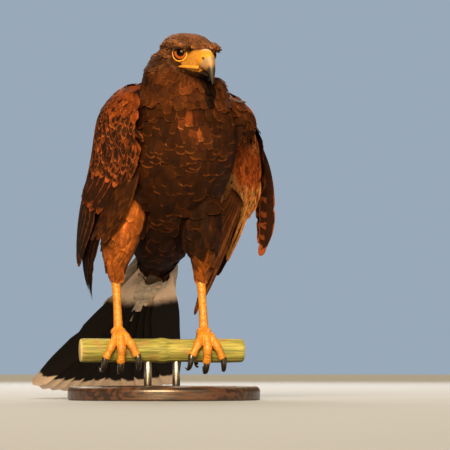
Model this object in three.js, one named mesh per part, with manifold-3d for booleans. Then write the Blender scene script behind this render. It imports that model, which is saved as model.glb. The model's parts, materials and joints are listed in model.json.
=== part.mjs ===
// A life-size Harris's hawk on a short cut stem, as a museum shows it. Millimetres, +Z up.
// The bird faces -Y and its left side is +X. The origin is the middle of the stand's underside.
import * as THREE from 'three';
import { mergeVertices } from 'three/addons/utils/BufferGeometryUtils.js';
import Module from 'manifold-3d';

const wasm = await Module();
wasm.setup();

// Driving sizes
const GAP = 0.33;
const GROW = 0.4;
const PERCH_TOP = 64;
const PERCH_RADIUS = 13;
const BASE_RADIUS = 100;
const BASE_THICK = 14;
const TAIL_LENGTH = 224;
const HEAD_TURN = 20;
const HEAD_NOD = 4;
const VANE_THICK = 1;
const MERGE = 0.06;
const SHINGLE = -0.1;

const V = (x, y, z) => new THREE.Vector3(x, y, z);
const lerp = THREE.MathUtils.lerp;
const rad = THREE.MathUtils.degToRad;
const along = (points) => new THREE.CatmullRomCurve3(points.map((p) => V(...p)));

// Materials
const finish = (color, roughness = 0.8, metalness = 0) =>
  new THREE.MeshStandardMaterial({ color, roughness, metalness });
const PLUMAGE = finish(0x4a2c1a, 0.9);
const RUFOUS = finish(0x8a4a26, 0.9);
const FLIGHT = finish(0x2a1c14, 0.85);
const YELLOW_SKIN = finish(0xe0a62c, 0.55);
const HORN = finish(0x7d8288, 0.35);
const TALON = finish(0x16130f, 0.35);
const IRIS = finish(0x3a1d0a, 0.1);
const STEM = finish(0x77803a, 0.8);
const STAND = finish(0x2b2320, 0.5);
const ROD = finish(0x8a8a88, 0.35, 1);

// Closed meshes and booleans
function geometryOf(positions, faces) {
  const geometry = new THREE.BufferGeometry();
  geometry.setAttribute('position', new THREE.Float32BufferAttribute(positions, 3));
  geometry.setIndex(faces);
  return geometry;
}

function solid(geometry) {
  const bare = geometry.clone();
  bare.deleteAttribute('normal');
  bare.deleteAttribute('uv');
  const merged = mergeVertices(bare, 1e-4);
  const p = merged.attributes.position;
  const faces = Uint32Array.from(merged.index.array);
  const [a, b, c] = [V(), V(), V()];
  let volume = 0;
  for (let i = 0; i < faces.length; i += 3) {
    a.fromBufferAttribute(p, faces[i]);
    b.fromBufferAttribute(p, faces[i + 1]);
    c.fromBufferAttribute(p, faces[i + 2]);
    volume += a.dot(b.cross(c));
  }
  if (volume < 0) faces.reverse();
  return new wasm.Manifold(
    new wasm.Mesh({ numProp: 3, vertProperties: Float32Array.from(p.array), triVerts: faces }),
  );
}

function largest(body) {
  return body.decompose().sort((a, b) => b.volume() - a.volume())[0];
}

function meshOf(name, body, material) {
  const { vertProperties, triVerts } = largest(largest(body).simplify(MERGE)).getMesh();
  const mesh = new THREE.Mesh(geometryOf(Array.from(vertProperties), Array.from(triVerts)), material);
  mesh.name = name;
  return mesh;
}

const fuse = (bodies) => wasm.Manifold.union(bodies);

// A closed skin through rings of equal count, each end closed by a fan round its middle.
function loft(rings) {
  const sides = rings[0].length;
  const positions = [];
  const faces = [];
  for (const ring of rings) for (const p of ring) positions.push(p.x, p.y, p.z);
  for (let r = 0; r + 1 < rings.length; r++) {
    for (let s = 0; s < sides; s++) {
      const [a, b] = [r * sides + s, r * sides + ((s + 1) % sides)];
      faces.push(a, b, a + sides, b, b + sides, a + sides);
    }
  }
  const ends = [[rings[0], 0, true], [rings.at(-1), (rings.length - 1) * sides, false]];
  for (const [ring, start, turned] of ends) {
    const middle = ring.reduce((sum, p) => sum.add(p), V(0, 0, 0)).divideScalar(sides);
    const hub = positions.length / 3;
    positions.push(middle.x, middle.y, middle.z);
    for (let s = 0; s < sides; s++) {
      const [a, b] = [start + s, start + ((s + 1) % sides)];
      faces.push(...(turned ? [hub, b, a] : [hub, a, b]));
    }
  }
  return solid(geometryOf(positions, faces));
}

// A ring of points; fullness 1 gives an ellipse, and less than 1 squares its corners.
function oval(middle, side, up, half, high, sides, fullness = 1) {
  const full = (value) => Math.sign(value) * Math.abs(value) ** fullness;
  return Array.from({ length: sides }, (_, i) => {
    const turn = (2 * Math.PI * i) / sides;
    return middle.clone()
      .addScaledVector(side, half * full(Math.cos(turn)))
      .addScaledVector(up, high * full(Math.sin(turn)));
  });
}

// A smooth value read along a list of stations.
function reading(values) {
  const curve = new THREE.CatmullRomCurve3(values.map((v, i) => V(v, i, 0)), false, 'catmullrom', 0.5);
  return (t) => curve.getPoint(t).x;
}

// How far a grown copy's first and last rings move out, back or forward along its line.
const endGrowth = (i, rings, grow) => (i === 0 ? -grow : i === rings - 1 ? grow : 0);

// A body of oval sections along a bent line: each station is [x, y, z, half width, half depth].
function limb(stations, rings, sides, grow = 0, across = V(1, 0, 0)) {
  const line = along(stations.map((s) => s.slice(0, 3)));
  const wide = reading(stations.map((s) => s[3]));
  const deep = reading(stations.map((s) => s[4]));
  return loft(Array.from({ length: rings }, (_, i) => {
    const t = i / (rings - 1);
    const way = line.getTangent(t);
    const end = endGrowth(i, rings, grow);
    const side = across.clone().addScaledVector(way, -across.dot(way)).normalize();
    const up = way.clone().cross(side);
    const middle = line.getPoint(t).addScaledVector(way, end);
    return oval(middle, side, up, wide(t) + grow, deep(t) + grow, sides);
  }));
}

// A slab that fills one side of a plane, for cutting.
const CUTTER = 600;
function halfSpace(point, normal) {
  const box = new THREE.BoxGeometry(CUTTER, CUTTER, CUTTER).translate(0, 0, CUTTER / 2);
  const turn = new THREE.Quaternion().setFromUnitVectors(V(0, 0, 1), normal.clone().normalize());
  return solid(box.applyQuaternion(turn).translate(point.x, point.y, point.z));
}

// A closed plate of two like faces: point(i, j, face) gives its corners, and face is 1 above and -1 below.
function plate(rows, columns, point) {
  const positions = [];
  const faces = [];
  for (const face of [1, -1]) {
    for (let i = 0; i < rows; i++) {
      for (let j = 0; j < columns; j++) positions.push(...point(i, j, face).toArray());
    }
  }
  const under = rows * columns;
  const quad = (a, b, c, d) => faces.push(a, b, c, a, c, d);
  for (let i = 0; i + 1 < rows; i++) {
    for (let j = 0; j + 1 < columns; j++) {
      const a = i * columns + j;
      const [b, c, d] = [a + 1, a + columns + 1, a + columns];
      quad(a, b, c, d);
      faces.push(under + a, under + c, under + b, under + a, under + d, under + c);
    }
    const [left, right] = [i * columns, (i + 1) * columns - 1];
    quad(left, left + columns, under + left + columns, under + left);
    quad(right, under + right, under + right + columns, right + columns);
  }
  const last = (rows - 1) * columns;
  for (let j = 0; j + 1 < columns; j++) {
    quad(j, under + j, under + j + 1, j + 1);
    quad(last + j, last + j + 1, under + last + j + 1, under + last + j);
  }
  return solid(geometryOf(positions, faces));
}

// Feathers: a vane is a thin plate that narrows to its root and its tip.
const VANE_STEPS = [0, 0.35, 0.7, 0.93, 1];
const VANE_WIDTHS = [0.55, 0.88, 1, 0.72, 0.3];
function vane(half, point, grow = 0, steps = VANE_STEPS, widths = VANE_WIDTHS) {
  return plate(steps.length, 2, (i, j, face) => {
    const thin = lerp(1, 0.6, steps[i]);
    return point(steps[i], (2 * j - 1) * (half * widths[i] + grow), face * (VANE_THICK * thin / 2 + grow));
  });
}

// A curved sheet between a front edge and a back edge, bulged by a middle line.
// In at(s, v), s runs from the shoulder (0) to the tip (1), and v from the front edge (0) to the back (1).
// facing is 1 or -1, so that normals point to the wing's upper side.
function sheetSurface(front, middle, back, facing) {
  const [f, m, b] = [front, middle, back].map(along);
  const at = (s, v) => {
    const t = THREE.MathUtils.clamp(s, 0, 1);
    return f.getPoint(t).multiplyScalar((1 - v) ** 2)
      .addScaledVector(m.getPoint(t), 2 * v * (1 - v))
      .addScaledVector(b.getPoint(t), v * v);
  };
  const step = 0.01;
  const frame = (s, v) => {
    const inner = Math.min(s, 1 - step);
    const down = at(inner + step, v).sub(at(inner, v)).divideScalar(step);
    const over = at(inner, v + step).sub(at(inner, v - step)).divideScalar(2 * step);
    const normal = down.clone().cross(over).normalize().multiplyScalar(facing);
    return { point: at(s, v), normal, over };
  };
  const length = m.getLength();
  return { at, frame, length };
}

// One feather on a sheet: it runs from (s0, v0) to (s1, v1), at a height over the sheet.
function sheetFeather(surface, { s0, s1, v0, v1, half, lift, tilt = SHINGLE, grow = 0 }) {
  const longer = grow / surface.length;
  return vane(half, (t, off, high) => {
    const { point, normal, over } = surface.frame(lerp(s0 - longer, s1 + longer, t), lerp(v0, v1, t));
    const aside = over.clone().normalize();
    return point.addScaledVector(aside, off).addScaledVector(normal, lift + tilt * off + high);
  }, grow);
}

// A row of feathers, side by side; each entry of the recipe is [first, last] along the row.
function featherRow(surface, grow, { count, bow = 0, ...recipe }) {
  return Array.from({ length: count }, (_, i) => {
    const k = count > 1 ? i / (count - 1) : 0;
    const sized = Object.fromEntries(
      Object.entries(recipe).map(([key, value]) => [key, Array.isArray(value) ? lerp(...value, k) : value]),
    );
    return sheetFeather(surface, { ...sized, s1: sized.s1 + bow * 4 * k * (1 - k), grow });
  });
}

// The fleshy part of a wing that the feathers grow from: a cushion on the sheet.
function wingPad(surface, { s0, s1, v0, v1, thickOut, thickIn, rows = 7, columns = 6, grow = 0 }) {
  const longer = grow / surface.length;
  return plate(rows, columns, (i, j, face) => {
    const [t, k] = [i / (rows - 1), j / (columns - 1)];
    const swell = Math.sqrt(Math.max(0, 1 - (2 * t - 0.8) ** 2 / 1.5)) + 0.05;
    const round = 0.12 + Math.sin(Math.PI * lerp(0.06, 0.94, k));
    const high = face > 0 ? thickOut : -thickIn;
    const { point, normal, over } = surface.frame(lerp(s0 - longer, s1 + longer, t), lerp(v0, v1, k));
    const wider = grow * (2 * k - 1) / over.length();
    return point.addScaledVector(over, wider).addScaledVector(normal, high * round * swell + face * grow);
  });
}

// Torso, neck and thighs. Stations are [x, y, z, half width, half depth].
const TORSO = [
  [4, 104, 122, 13, 6],
  [6, 80, 144, 24, 15],
  [8, 56, 170, 38, 30],
  [12, 36, 201, 50, 43],
  [16, 18, 236, 58, 50],
  [20, 0, 270, 60, 51],
  [19, -9, 297, 56, 45],
  [17, -10, 318, 47, 36],
  [16, -9, 334, 35, 28],
];
const NECK = [
  [15, -4, 294, 50, 38],
  [16, -8, 316, 52, 40],
  [13, -8, 332, 40.5, 37],
  [15.2, -7, 346, 35, 34],
  [18.5, -8, 360, 27, 30],
  [19, -10, 370, 17, 19],
];
const THIGHS = {
  right: [
    [-27, 20, 226, 20, 22],
    [-36, 10, 198, 25, 28],
    [-45, 7, 168, 23, 25],
    [-48, 12, 142, 15.5, 17],
    [-48, 16, 119, 8, 9],
  ],
  left: [
    [40, 20, 226, 20, 22],
    [42, 10, 198, 25, 28],
    [43, 7, 168, 21, 24],
    [43, 12, 142, 14, 16],
    [42.5, 16, 119, 8, 9],
  ],
};
const TRUNK_SIDES = 24;
const THIGH_SIDES = 16;
const torsoBody = (grow = 0) => limb(TORSO, 17, TRUNK_SIDES, grow);
const neckBody = (grow = 0) => limb(NECK, 10, TRUNK_SIDES, grow);
const thighBody = (side, grow = 0) => limb(THIGHS[side], 10, THIGH_SIDES, grow);

// Head, in its own frame: +Y is towards the nape and the origin lies between the eyes' backs.
const HEAD_AT = V(20.2, -21.5, 356.5);
const headPose = new THREE.Matrix4()
  .makeRotationZ(rad(HEAD_TURN))
  .multiply(new THREE.Matrix4().makeRotationX(rad(HEAD_NOD)))
  .setPosition(HEAD_AT);
const headPoint = (x, y, z) => V(x, y, z).applyMatrix4(headPose);
const headWay = (x, y, z) => V(x, y, z).transformDirection(headPose);
// Stations of the skull are [y, middle z, half width, half height, fullness].
const SKULL = [
  [35, -2, 4, 4, 1], [31, -1, 13, 13, 1], [24, 0.5, 20, 19, 0.95], [14, 1.3, 25, 22.8, 0.88],
  [2, 1.2, 26.4, 23.4, 0.8], [-8, 0.8, 26, 23, 0.72], [-17, -1, 22.8, 21.4, 0.7],
  [-25, -3.6, 17.2, 17.8, 0.74], [-31, -6.4, 13.4, 13.4, 0.86], [-34.5, -7.5, 10.8, 12, 0.95],
];
const SKULL_RINGS = 13;
const SKULL_SIDES = 20;
const EYE = { x: 14.8, y: -15.5, z: 1.5, radius: 9.2 };
// Each brow is [x, y, z, half height], and is wider than it is high.
const BROW = [[16.2, -32, 7.9, 2.9], [19, -22, 11.3, 4.1], [21.2, -9, 12.8, 4.7], [21.4, 11, 9.8, 3.3]];
const BROW_RINGS = 6;
const BROW_SIDES = 8;
const BROW_WIDE = 1.25;
// The cere ends at this y on the ridge of the bill, and its seam slopes back to the mouth.
const CERE_FRONT = -50.2;
const SEAM_SLOPE = 1.05;
const NOSTRIL = { x: 10.4, y: -43.6, z: -3.8, radius: 1.4, long: 8 };
// The bill is a row of ovals; each is [top y, top z, bottom y, bottom z, half width].
const BILL = [
  [-30, 6.2, -28, -13.8, 10.4], [-36, 6.6, -34, -14.4, 9.8], [-42, 5.4, -38.6, -15.8, 8.6],
  [-46.8, 1.8, -42.2, -17.6, 6.6], [-50.6, -4.6, -45.2, -19.4, 5.1], [-53, -12, -47.6, -21.6, 3.9],
  [-53.5, -19.6, -49.6, -24.4, 2.7], [-53, -26, -51.2, -27.6, 1.5], [-52.4, -30, -52, -30.6, 0.6],
];
const BILL_RINGS = 15;
const BILL_SIDES = 16;
// Stations of the lower bill are [y, middle z, half width, half height].
const LOWER_BILL = [
  [-28, -17.2, 8.8, 3], [-34, -17.5, 7.8, 2.8], [-39, -18.7, 5.8, 2.4], [-43, -20.1, 3.4, 1.8],
  [-45, -20.9, 1.6, 1],
];
// The corner of the mouth, from the bill back towards the cheek.
const GAPE = [[8.2, -37.5, -13], [13.4, -31, -12.6], [17.6, -25, -12.2], [20.4, -16.5, -12.2]];
const GAPE_SIZE = [1.5, 1.2];
const GAPE_TALL = 1.3;

function headShape(grow = 0) {
  const side = headWay(1, 0, 0);
  const up = headWay(0, 0, 1);
  const line = (k) => reading(SKULL.map((s) => s[k]));
  const [y, z, half, high, fullness] = [0, 1, 2, 3, 4].map(line);
  const skull = loft(Array.from({ length: SKULL_RINGS }, (_, i) => {
    const t = i / (SKULL_RINGS - 1);
    const end = endGrowth(i, SKULL_RINGS, grow);
    const middle = headPoint(0, y(t) - end, z(t));
    return oval(middle, side, up, half(t) + grow, high(t) + grow, SKULL_SIDES, fullness(t));
  }));
  const brows = [1, -1].map((hand) => {
    const spine = along(BROW.map(([x, by, bz]) => headPoint(hand * x, by, bz).toArray()));
    const size = reading(BROW.map((b) => b[3]));
    return loft(Array.from({ length: BROW_RINGS }, (_, i) => {
      const t = i / (BROW_RINGS - 1);
      const way = spine.getTangent(t);
      const across = side.clone().addScaledVector(way, -side.dot(way)).normalize();
      const [wide, high] = [size(t) * BROW_WIDE + grow, size(t) + grow];
      return oval(spine.getPoint(t), across, way.clone().cross(across), wide, high, BROW_SIDES);
    }));
  });
  return fuse([skull, ...brows]);
}

function eyeBall(hand, grow = 0) {
  const ball = new THREE.SphereGeometry(EYE.radius + grow, 14, 8);
  const middle = headPoint(hand * EYE.x, EYE.y, EYE.z);
  return solid(ball.translate(middle.x, middle.y, middle.z));
}

// The rim of the lids: a ring round the way that the eye looks.
const LID = { radius: 7.6, tube: 1.5, forward: 0.52 };
const eyeWay = (hand) => headWay(hand * 0.86, -LID.forward, -0.02);
function lidRing(hand) {
  const ring = new THREE.TorusGeometry(LID.radius, LID.tube, 4, 14);
  const turn = new THREE.Quaternion().setFromUnitVectors(V(0, 0, 1), eyeWay(hand));
  const reach = Math.sqrt(EYE.radius ** 2 - LID.radius ** 2) + 0.2;
  const middle = headPoint(hand * EYE.x, EYE.y, EYE.z).addScaledVector(eyeWay(hand), reach);
  return solid(ring.applyQuaternion(turn).translate(middle.x, middle.y, middle.z));
}

function billBody(grow = 0) {
  const side = headWay(1, 0, 0);
  const read = [0, 1, 2, 3, 4].map((k) => reading(BILL.map((b) => b[k])));
  return loft(Array.from({ length: BILL_RINGS }, (_, i) => {
    const [ty, tz, by, bz, half] = read.map((r) => r(i / (BILL_RINGS - 1)));
    const end = endGrowth(i, BILL_RINGS, grow);
    const shift = (y, z) => (i === 0 ? headPoint(0, y - end, z) : headPoint(0, y, z - end));
    const [top, bottom] = [shift(ty, tz), shift(by, bz)];
    const middle = top.clone().lerp(bottom, 0.5);
    const up = top.clone().sub(bottom);
    const high = up.length() / 2;
    return oval(middle, side, up.normalize(), half + grow, high + grow, BILL_SIDES);
  }));
}

function lowerBillBody(grow = 0) {
  const [side, up] = [headWay(1, 0, 0), headWay(0, 0, 1)];
  return loft(LOWER_BILL.map(([y, z, half, high], i) => {
    const middle = headPoint(0, y - endGrowth(i, LOWER_BILL.length, grow), z);
    return oval(middle, side, up, half + grow, high + grow, 12);
  }));
}

function gapeRoll(hand) {
  const line = along(GAPE.map(([x, y, z]) => headPoint(hand * x, y, z).toArray()));
  const steps = 7;
  return loft(Array.from({ length: steps }, (_, i) => {
    const t = i / (steps - 1);
    const way = line.getTangent(t);
    const across = V(0, 0, 1).addScaledVector(way, -way.z).normalize();
    const size = lerp(...GAPE_SIZE, t);
    return oval(line.getPoint(t), across, way.clone().cross(across), size, size * GAPE_TALL, 6);
  }));
}

function nostril(hand) {
  const { radius, long } = NOSTRIL;
  const hole = new THREE.CylinderGeometry(radius, radius, long, 8).rotateZ(Math.PI / 2);
  const turn = new THREE.Quaternion().setFromUnitVectors(V(1, 0, 0), headWay(1, 0, 0));
  const middle = headPoint(hand * NOSTRIL.x, NOSTRIL.y, NOSTRIL.z);
  return solid(hole.applyQuaternion(turn).translate(middle.x, middle.y, middle.z));
}

const SIDES = [['left', 1], ['right', -1]];
const NECK_TOP = { at: V(20, -14, 338), way: V(0.05, -0.42, 0.9) };
const NECK_FOOT = { at: V(14, -10, 311), way: V(0, -0.3, 0.95) };
[NECK_TOP, NECK_FOOT].forEach((cut) => cut.way.normalize());

const above = (cut) => halfSpace(cut.at.clone().addScaledVector(cut.way, GAP / 2), cut.way);
const below = (cut) => halfSpace(cut.at.clone().addScaledVector(cut.way, -GAP / 2), cut.way.clone().negate());

function headBody() {
  const sockets = fuse(SIDES.map(([, hand]) => eyeBall(hand, GAP)));
  return fuse([headShape(), neckBody(), ...SIDES.map(([, hand]) => lidRing(hand))])
    .intersect(above(NECK_TOP))
    .subtract(fuse([sockets, billBody(GROW), lowerBillBody(GROW)]));
}

// The bill is parted across by a sloping plane: soft cere behind and above it, horn before and below it.
function billParts() {
  const seam = { at: headPoint(0, CERE_FRONT, 0), way: headWay(0, -1, -SEAM_SLOPE) };
  const lower = lowerBillBody(GROW);
  const clearOfHead = (body) => body.subtract(fuse([headShape(GROW), lower]));
  const hands = SIDES.map(([, hand]) => hand);
  const soft = clearOfHead(fuse([billBody().intersect(below(seam)), ...hands.map(gapeRoll)]));
  return {
    cere: soft.subtract(fuse(hands.map(nostril))).intersect(below(seam)),
    horn: clearOfHead(billBody().intersect(above(seam))),
    lower: lowerBillBody().subtract(headShape(GROW)),
  };
}

// Wings. Each sheet has a front edge, a bulging middle and a back edge, from the shoulder to the tip.
const RIGHT_SHEET = sheetSurface(
  [[-38, -34, 316], [-44, -36, 282], [-42, -18, 236], [-58, 22, 184], [-66, 78, 132], [-62, 140, 101]],
  [[-52, -16, 322], [-92, -8, 292], [-104, 24, 248], [-114, 60, 204], [-98, 108, 152], [-62, 146, 106]],
  [[-14, 28, 332], [-16, 42, 318], [-20, 66, 276], [-24, 90, 232], [-30, 118, 180], [-54, 148, 112]],
  -1,
);
const LEFT_SHEET = sheetSurface(
  [[84, -8, 306], [102, 10, 272], [109, 40, 226], [99, 78, 172], [86, 114, 126], [72, 150, 92]],
  [[86, 30, 322], [92, 58, 296], [92, 84, 250], [86, 108, 200], [78, 132, 148], [66, 154, 102]],
  [[40, 26, 330], [44, 46, 308], [44, 72, 268], [46, 98, 222], [50, 124, 168], [58, 152, 112]],
  1,
);
const FINGER = along([[101, 8, 270], [112, 30, 247], [123, 58, 210], [127, 80, 180], [125, 98, 154]]);

// Rows of feathers, from the long ones beneath to the short ones over their roots.
const RIGHT_PAD = { s0: 0, s1: 0.46, v0: 0.02, v1: 0.98, thickOut: 7, thickIn: 9 };
const RIGHT_ROWS = [
  {
    count: 7, s0: 0.3, s1: [0.8, 0.72], v0: [0.16, 0.92], v1: [0.26, 0.8], half: [11, 13],
    lift: 0, bow: 0.02,
  },
  { count: 7, s0: 0.2, s1: [0.56, 0.5], v0: [0.08, 0.92], v1: [0.12, 0.88], half: [11, 14], lift: 3.4 },
  { count: 6, s0: 0.1, s1: [0.4, 0.36], v0: [0.1, 0.9], v1: [0.12, 0.88], half: [12, 15], lift: 6.2 },
];
const RIGHT_HAND_PAD = {
  s0: 0.4, s1: 0.6, v0: 0.04, v1: 0.42, thickOut: -2.2, thickIn: 10.5, rows: 5, columns: 4,
};
const RIGHT_PRIMARIES = {
  count: 6, s0: 0.5, s1: [0.88, 1], v0: [0.36, 0.08], v1: [0.72, 0.16], half: [9, 8],
  lift: [-3.4, -9.9], tilt: 0,
};

const rightArm = (grow = 0) => fuse([
  wingPad(RIGHT_SHEET, { ...RIGHT_PAD, grow }),
  ...RIGHT_ROWS.flatMap((row) => featherRow(RIGHT_SHEET, grow, row)),
]);
const rightHand = () => fuse([
  wingPad(RIGHT_SHEET, RIGHT_HAND_PAD),
  ...featherRow(RIGHT_SHEET, 0, RIGHT_PRIMARIES),
]);

// The longest primaries of the left wing stand apart from it, like a finger.
const FINGER_HALF = 8.4;
const FINGER_ACROSS = V(0.9, -0.35, 0);
function fingerFeather(shift, reach) {
  return vane(FINGER_HALF, (t, off, high) => {
    const way = FINGER.getTangent(t * reach);
    const across = FINGER_ACROSS.clone().addScaledVector(way, -way.dot(FINGER_ACROSS)).normalize();
    const normal = way.clone().cross(across).normalize();
    return FINGER.getPoint(t * reach).add(shift)
      .addScaledVector(across, off)
      .addScaledVector(normal, high);
  });
}

// The shoulder that stands off the body on the left, down to the wrist.
const LEFT_ARM = [
  [46, 18, 298, 25, 26],
  [60, 4, 297, 25, 26],
  [75, -5, 295, 22, 22],
  [86.5, -6, 288, 16.5, 16],
  [94, -2, 276, 9, 9],
];
const LEFT_ARM_ACROSS = V(0, 0.2, 1);
const LEFT_PAD = { s0: 0.02, s1: 0.46, v0: 0.03, v1: 0.97, thickOut: 6, thickIn: 5 };
const LEFT_ROWS = [
  { count: 6, s0: 0.3, s1: [0.78, 0.7], v0: [0.2, 0.92], v1: [0.28, 0.86], half: [11, 12], lift: 0 },
  { count: 6, s0: 0.2, s1: [0.56, 0.5], v0: [0.1, 0.9], v1: [0.12, 0.88], half: [11, 13], lift: 3.4 },
  { count: 6, s0: 0.2, s1: [0.6, 0.48], v0: [0.08, 0.9], v1: [0.12, 0.86], half: [11, 12], lift: -3.6 },
];
const LEFT_HAND_PAD = {
  s0: 0.4, s1: 0.6, v0: 0.02, v1: 0.36, thickOut: -5.4, thickIn: 13, rows: 5, columns: 4,
};
const LEFT_PRIMARIES = {
  count: 6, s0: 0.5, s1: [0.88, 1], v0: [0.3, 0.06], v1: [0.62, 0.14], half: [9, 8],
  lift: [-6.4, -12.6], tilt: 0,
};

const leftArm = (grow = 0) => fuse([
  limb(LEFT_ARM, 9, 16, grow, LEFT_ARM_ACROSS),
  wingPad(LEFT_SHEET, { ...LEFT_PAD, grow }),
  ...LEFT_ROWS.flatMap((row) => featherRow(LEFT_SHEET, grow, row)),
]);
const leftHand = () => fuse([
  wingPad(LEFT_SHEET, LEFT_HAND_PAD),
  ...featherRow(LEFT_SHEET, 0, LEFT_PRIMARIES),
]);

const leftFinger = () => fuse([fingerFeather(V(0, 0, 0), 1), fingerFeather(V(-3, 5, 3), 0.9)]);

// Tail: twelve vanes fanned from one root, the middle pair on top, swung to the bird's right.
const TAIL = {
  root: V(5, 86, 140), swing: 11, spread: 19, slope: 36.2, count: 12, half: 16.5, step: 1.5, droop: 4,
  rootHalf: 12, curve: 3, outer: 0.95,
};
const TAIL_STUB = [[4, 92, 134, 20, 9], [1, 108, 121, 21, 7], [-3, 128, 105, 20, 4], [-6, 140, 96, 16, 1.5]];
function tailWay(angle) {
  const flat = V(-Math.sin(rad(angle)), Math.cos(rad(angle)), 0);
  return flat.multiplyScalar(Math.cos(rad(TAIL.slope))).add(V(0, 0, -Math.sin(rad(TAIL.slope))));
}

function tail() {
  const ahead = tailWay(TAIL.swing);
  const over = V(Math.cos(rad(TAIL.swing)), Math.sin(rad(TAIL.swing)), 0);
  const up = over.clone().cross(ahead).normalize();
  if (up.z < 0) up.negate();
  const vanes = Array.from({ length: TAIL.count }, (_, i) => {
    const k = (2 * i) / (TAIL.count - 1) - 1;
    const turn = rad(k * TAIL.spread);
    const way = ahead.clone().multiplyScalar(Math.cos(turn)).addScaledVector(over, Math.sin(turn));
    const across = over.clone().multiplyScalar(Math.cos(turn)).addScaledVector(ahead, -Math.sin(turn));
    const layer = -TAIL.step * Math.abs(i - (TAIL.count - 1) / 2 - 0.2);
    const length = TAIL_LENGTH * lerp(1, TAIL.outer, k * k);
    const start = TAIL.root.clone().addScaledVector(across, k * TAIL.rootHalf);
    return vane(TAIL.half, (t, off, high) => start.clone()
      .addScaledVector(way, t * length)
      .addScaledVector(across, off - TAIL.curve * k * Math.sin(Math.PI * t))
      .addScaledVector(up, layer * Math.min(1, 0.4 + t * 2) - TAIL.droop * k * k * t + high));
  });
  return fuse([limb(TAIL_STUB, 6, 14), ...vanes]);
}

// Legs, feet and claws
const ANKLE = { right: V(-48, 17, 126), left: V(42.5, 17, 126) };
const FOOT = { right: V(-48, 1, PERCH_TOP + 7), left: V(42.5, 1, PERCH_TOP + 7) };
const PERCH_AXIS = V(0, 0, PERCH_TOP - PERCH_RADIUS);
// Toes wrap round the stem: [start angle, end angle, sideways reach, radius].
// Angles run from the top of the stem towards the front.
const TOES = {
  inner: [8, 112, 17, 5], middle: [4, 138, 0, 5.2], outer: [8, 122, -17, 4.8], hind: [-12, -96, 4, 5.4],
};

// A claw goes on round the stem past its toe's end, bows away from it and hooks back.
const CLAW = {
  turn: [-8, 62], rise: 0.6, bow: 5, hook: 1.6, splay: 0.18, sizes: [3.3, 3.2, 2.7, 2, 1.2, 0.5],
};

function toeLine(foot, hand, [from, to, reach, size]) {
  const count = 6;
  return Array.from({ length: count }, (_, i) => {
    const t = i / (count - 1);
    const turn = rad(lerp(from, to, t));
    const far = PERCH_RADIUS + size + GAP;
    return V(foot.x - hand * reach * t, -far * Math.sin(turn), PERCH_AXIS.z + far * Math.cos(turn));
  });
}

function tube(points, sizes, sides, grow = 0) {
  const line = new THREE.CatmullRomCurve3(points);
  const size = reading(sizes);
  const rings = points.length;
  let side = V(1, 0, 0);
  return loft(Array.from({ length: rings }, (_, i) => {
    const t = i / (rings - 1);
    const way = line.getTangent(t);
    side = side.clone().addScaledVector(way, -side.dot(way)).normalize();
    const r = size(t) + grow;
    const middle = line.getPoint(t).addScaledVector(way, endGrowth(i, rings, grow));
    return oval(middle, side, way.clone().cross(side), r, r, sides);
  }));
}

function clawBody(foot, hand, toe, grow = 0) {
  const [from, to, reach, size] = toe;
  const way = Math.sign(to - from);
  const far = PERCH_RADIUS + size + GAP;
  const count = CLAW.sizes.length;
  const points = Array.from({ length: count }, (_, i) => {
    const t = i / (count - 1);
    const turn = rad(to + way * lerp(...CLAW.turn, t));
    const radius = far + CLAW.rise + CLAW.bow * Math.sin(Math.PI * t) - CLAW.hook * t;
    const [aside, ahead] = [reach * (1 + CLAW.splay * t), radius * Math.sin(turn)];
    return V(foot.x - hand * aside, -ahead, PERCH_AXIS.z + radius * Math.cos(turn));
  });
  return tube(points, CLAW.sizes, 6, grow);
}

// The stem swells and thins a little along its length, with a knot in its middle.
const PERCH = { left: -88, right: 84, rings: 11, thinner: 0.8, swell: 0.5, knot: 1.2 };
function perchBody(grow = 0) {
  const wave = (t) => 0.5 * Math.sin(9 * t) + 0.4 * Math.cos(15 * t);
  return loft(Array.from({ length: PERCH.rings }, (_, i) => {
    const t = i / (PERCH.rings - 1);
    const knot = i === (PERCH.rings - 1) / 2 ? PERCH.knot : 0;
    const r = PERCH_RADIUS - PERCH.thinner + PERCH.swell * wave(t) + knot + grow;
    return oval(V(lerp(PERCH.left, PERCH.right, t), 0, PERCH_AXIS.z), V(0, 1, 0), V(0, 0, 1), r, r, 20);
  }));
}

const SHANK_SIZES = [5.5, 5.2, 4.2, 5.2];
const FOOT_PAD = { radius: 8, wide: 1.05, flat: 0.72, above: 6.2 };
const TOE_TIP = 0.86;

function leg(side, hand) {
  const foot = FOOT[side];
  const ankle = ANKLE[side];
  const knee = ankle.clone().add(V(0, 4, 10));
  const shankLine = [knee, ankle, ankle.clone().lerp(foot, 0.5).add(V(0, -1, 0)), foot];
  const shank = (grow) => tube(shankLine, SHANK_SIZES, 10, grow);
  const toes = Object.entries(TOES).map(([name, toe]) => ({ name, toe, line: toeLine(foot, hand, toe) }));
  const root = V(foot.x, 0, PERCH_TOP + FOOT_PAD.above);
  const pad = new THREE.SphereGeometry(FOOT_PAD.radius, 10, 7)
    .scale(FOOT_PAD.wide, 1, FOOT_PAD.flat)
    .translate(root.x, root.y, root.z);
  const stem = perchBody(GROW);
  const claws = toes.map(({ name, toe }) => ({
    name: `claw_${side}_${name}`,
    body: clawBody(foot, hand, toe).subtract(stem),
    grown: clawBody(foot, hand, toe, GROW),
  }));
  const toeTube = ({ line, toe }) => tube([root, ...line], [...Array(5).fill(toe[3]), toe[3] * TOE_TIP], 7);
  const whole = fuse([solid(pad), ...toes.map(toeTube)]);
  const footBody = whole.subtract(fuse(claws.map((c) => c.grown))).subtract(shank(GROW));
  return { shank: shank(0).subtract(thighBody(side, GROW)).subtract(stem), foot: footBody, claws };
}

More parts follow.
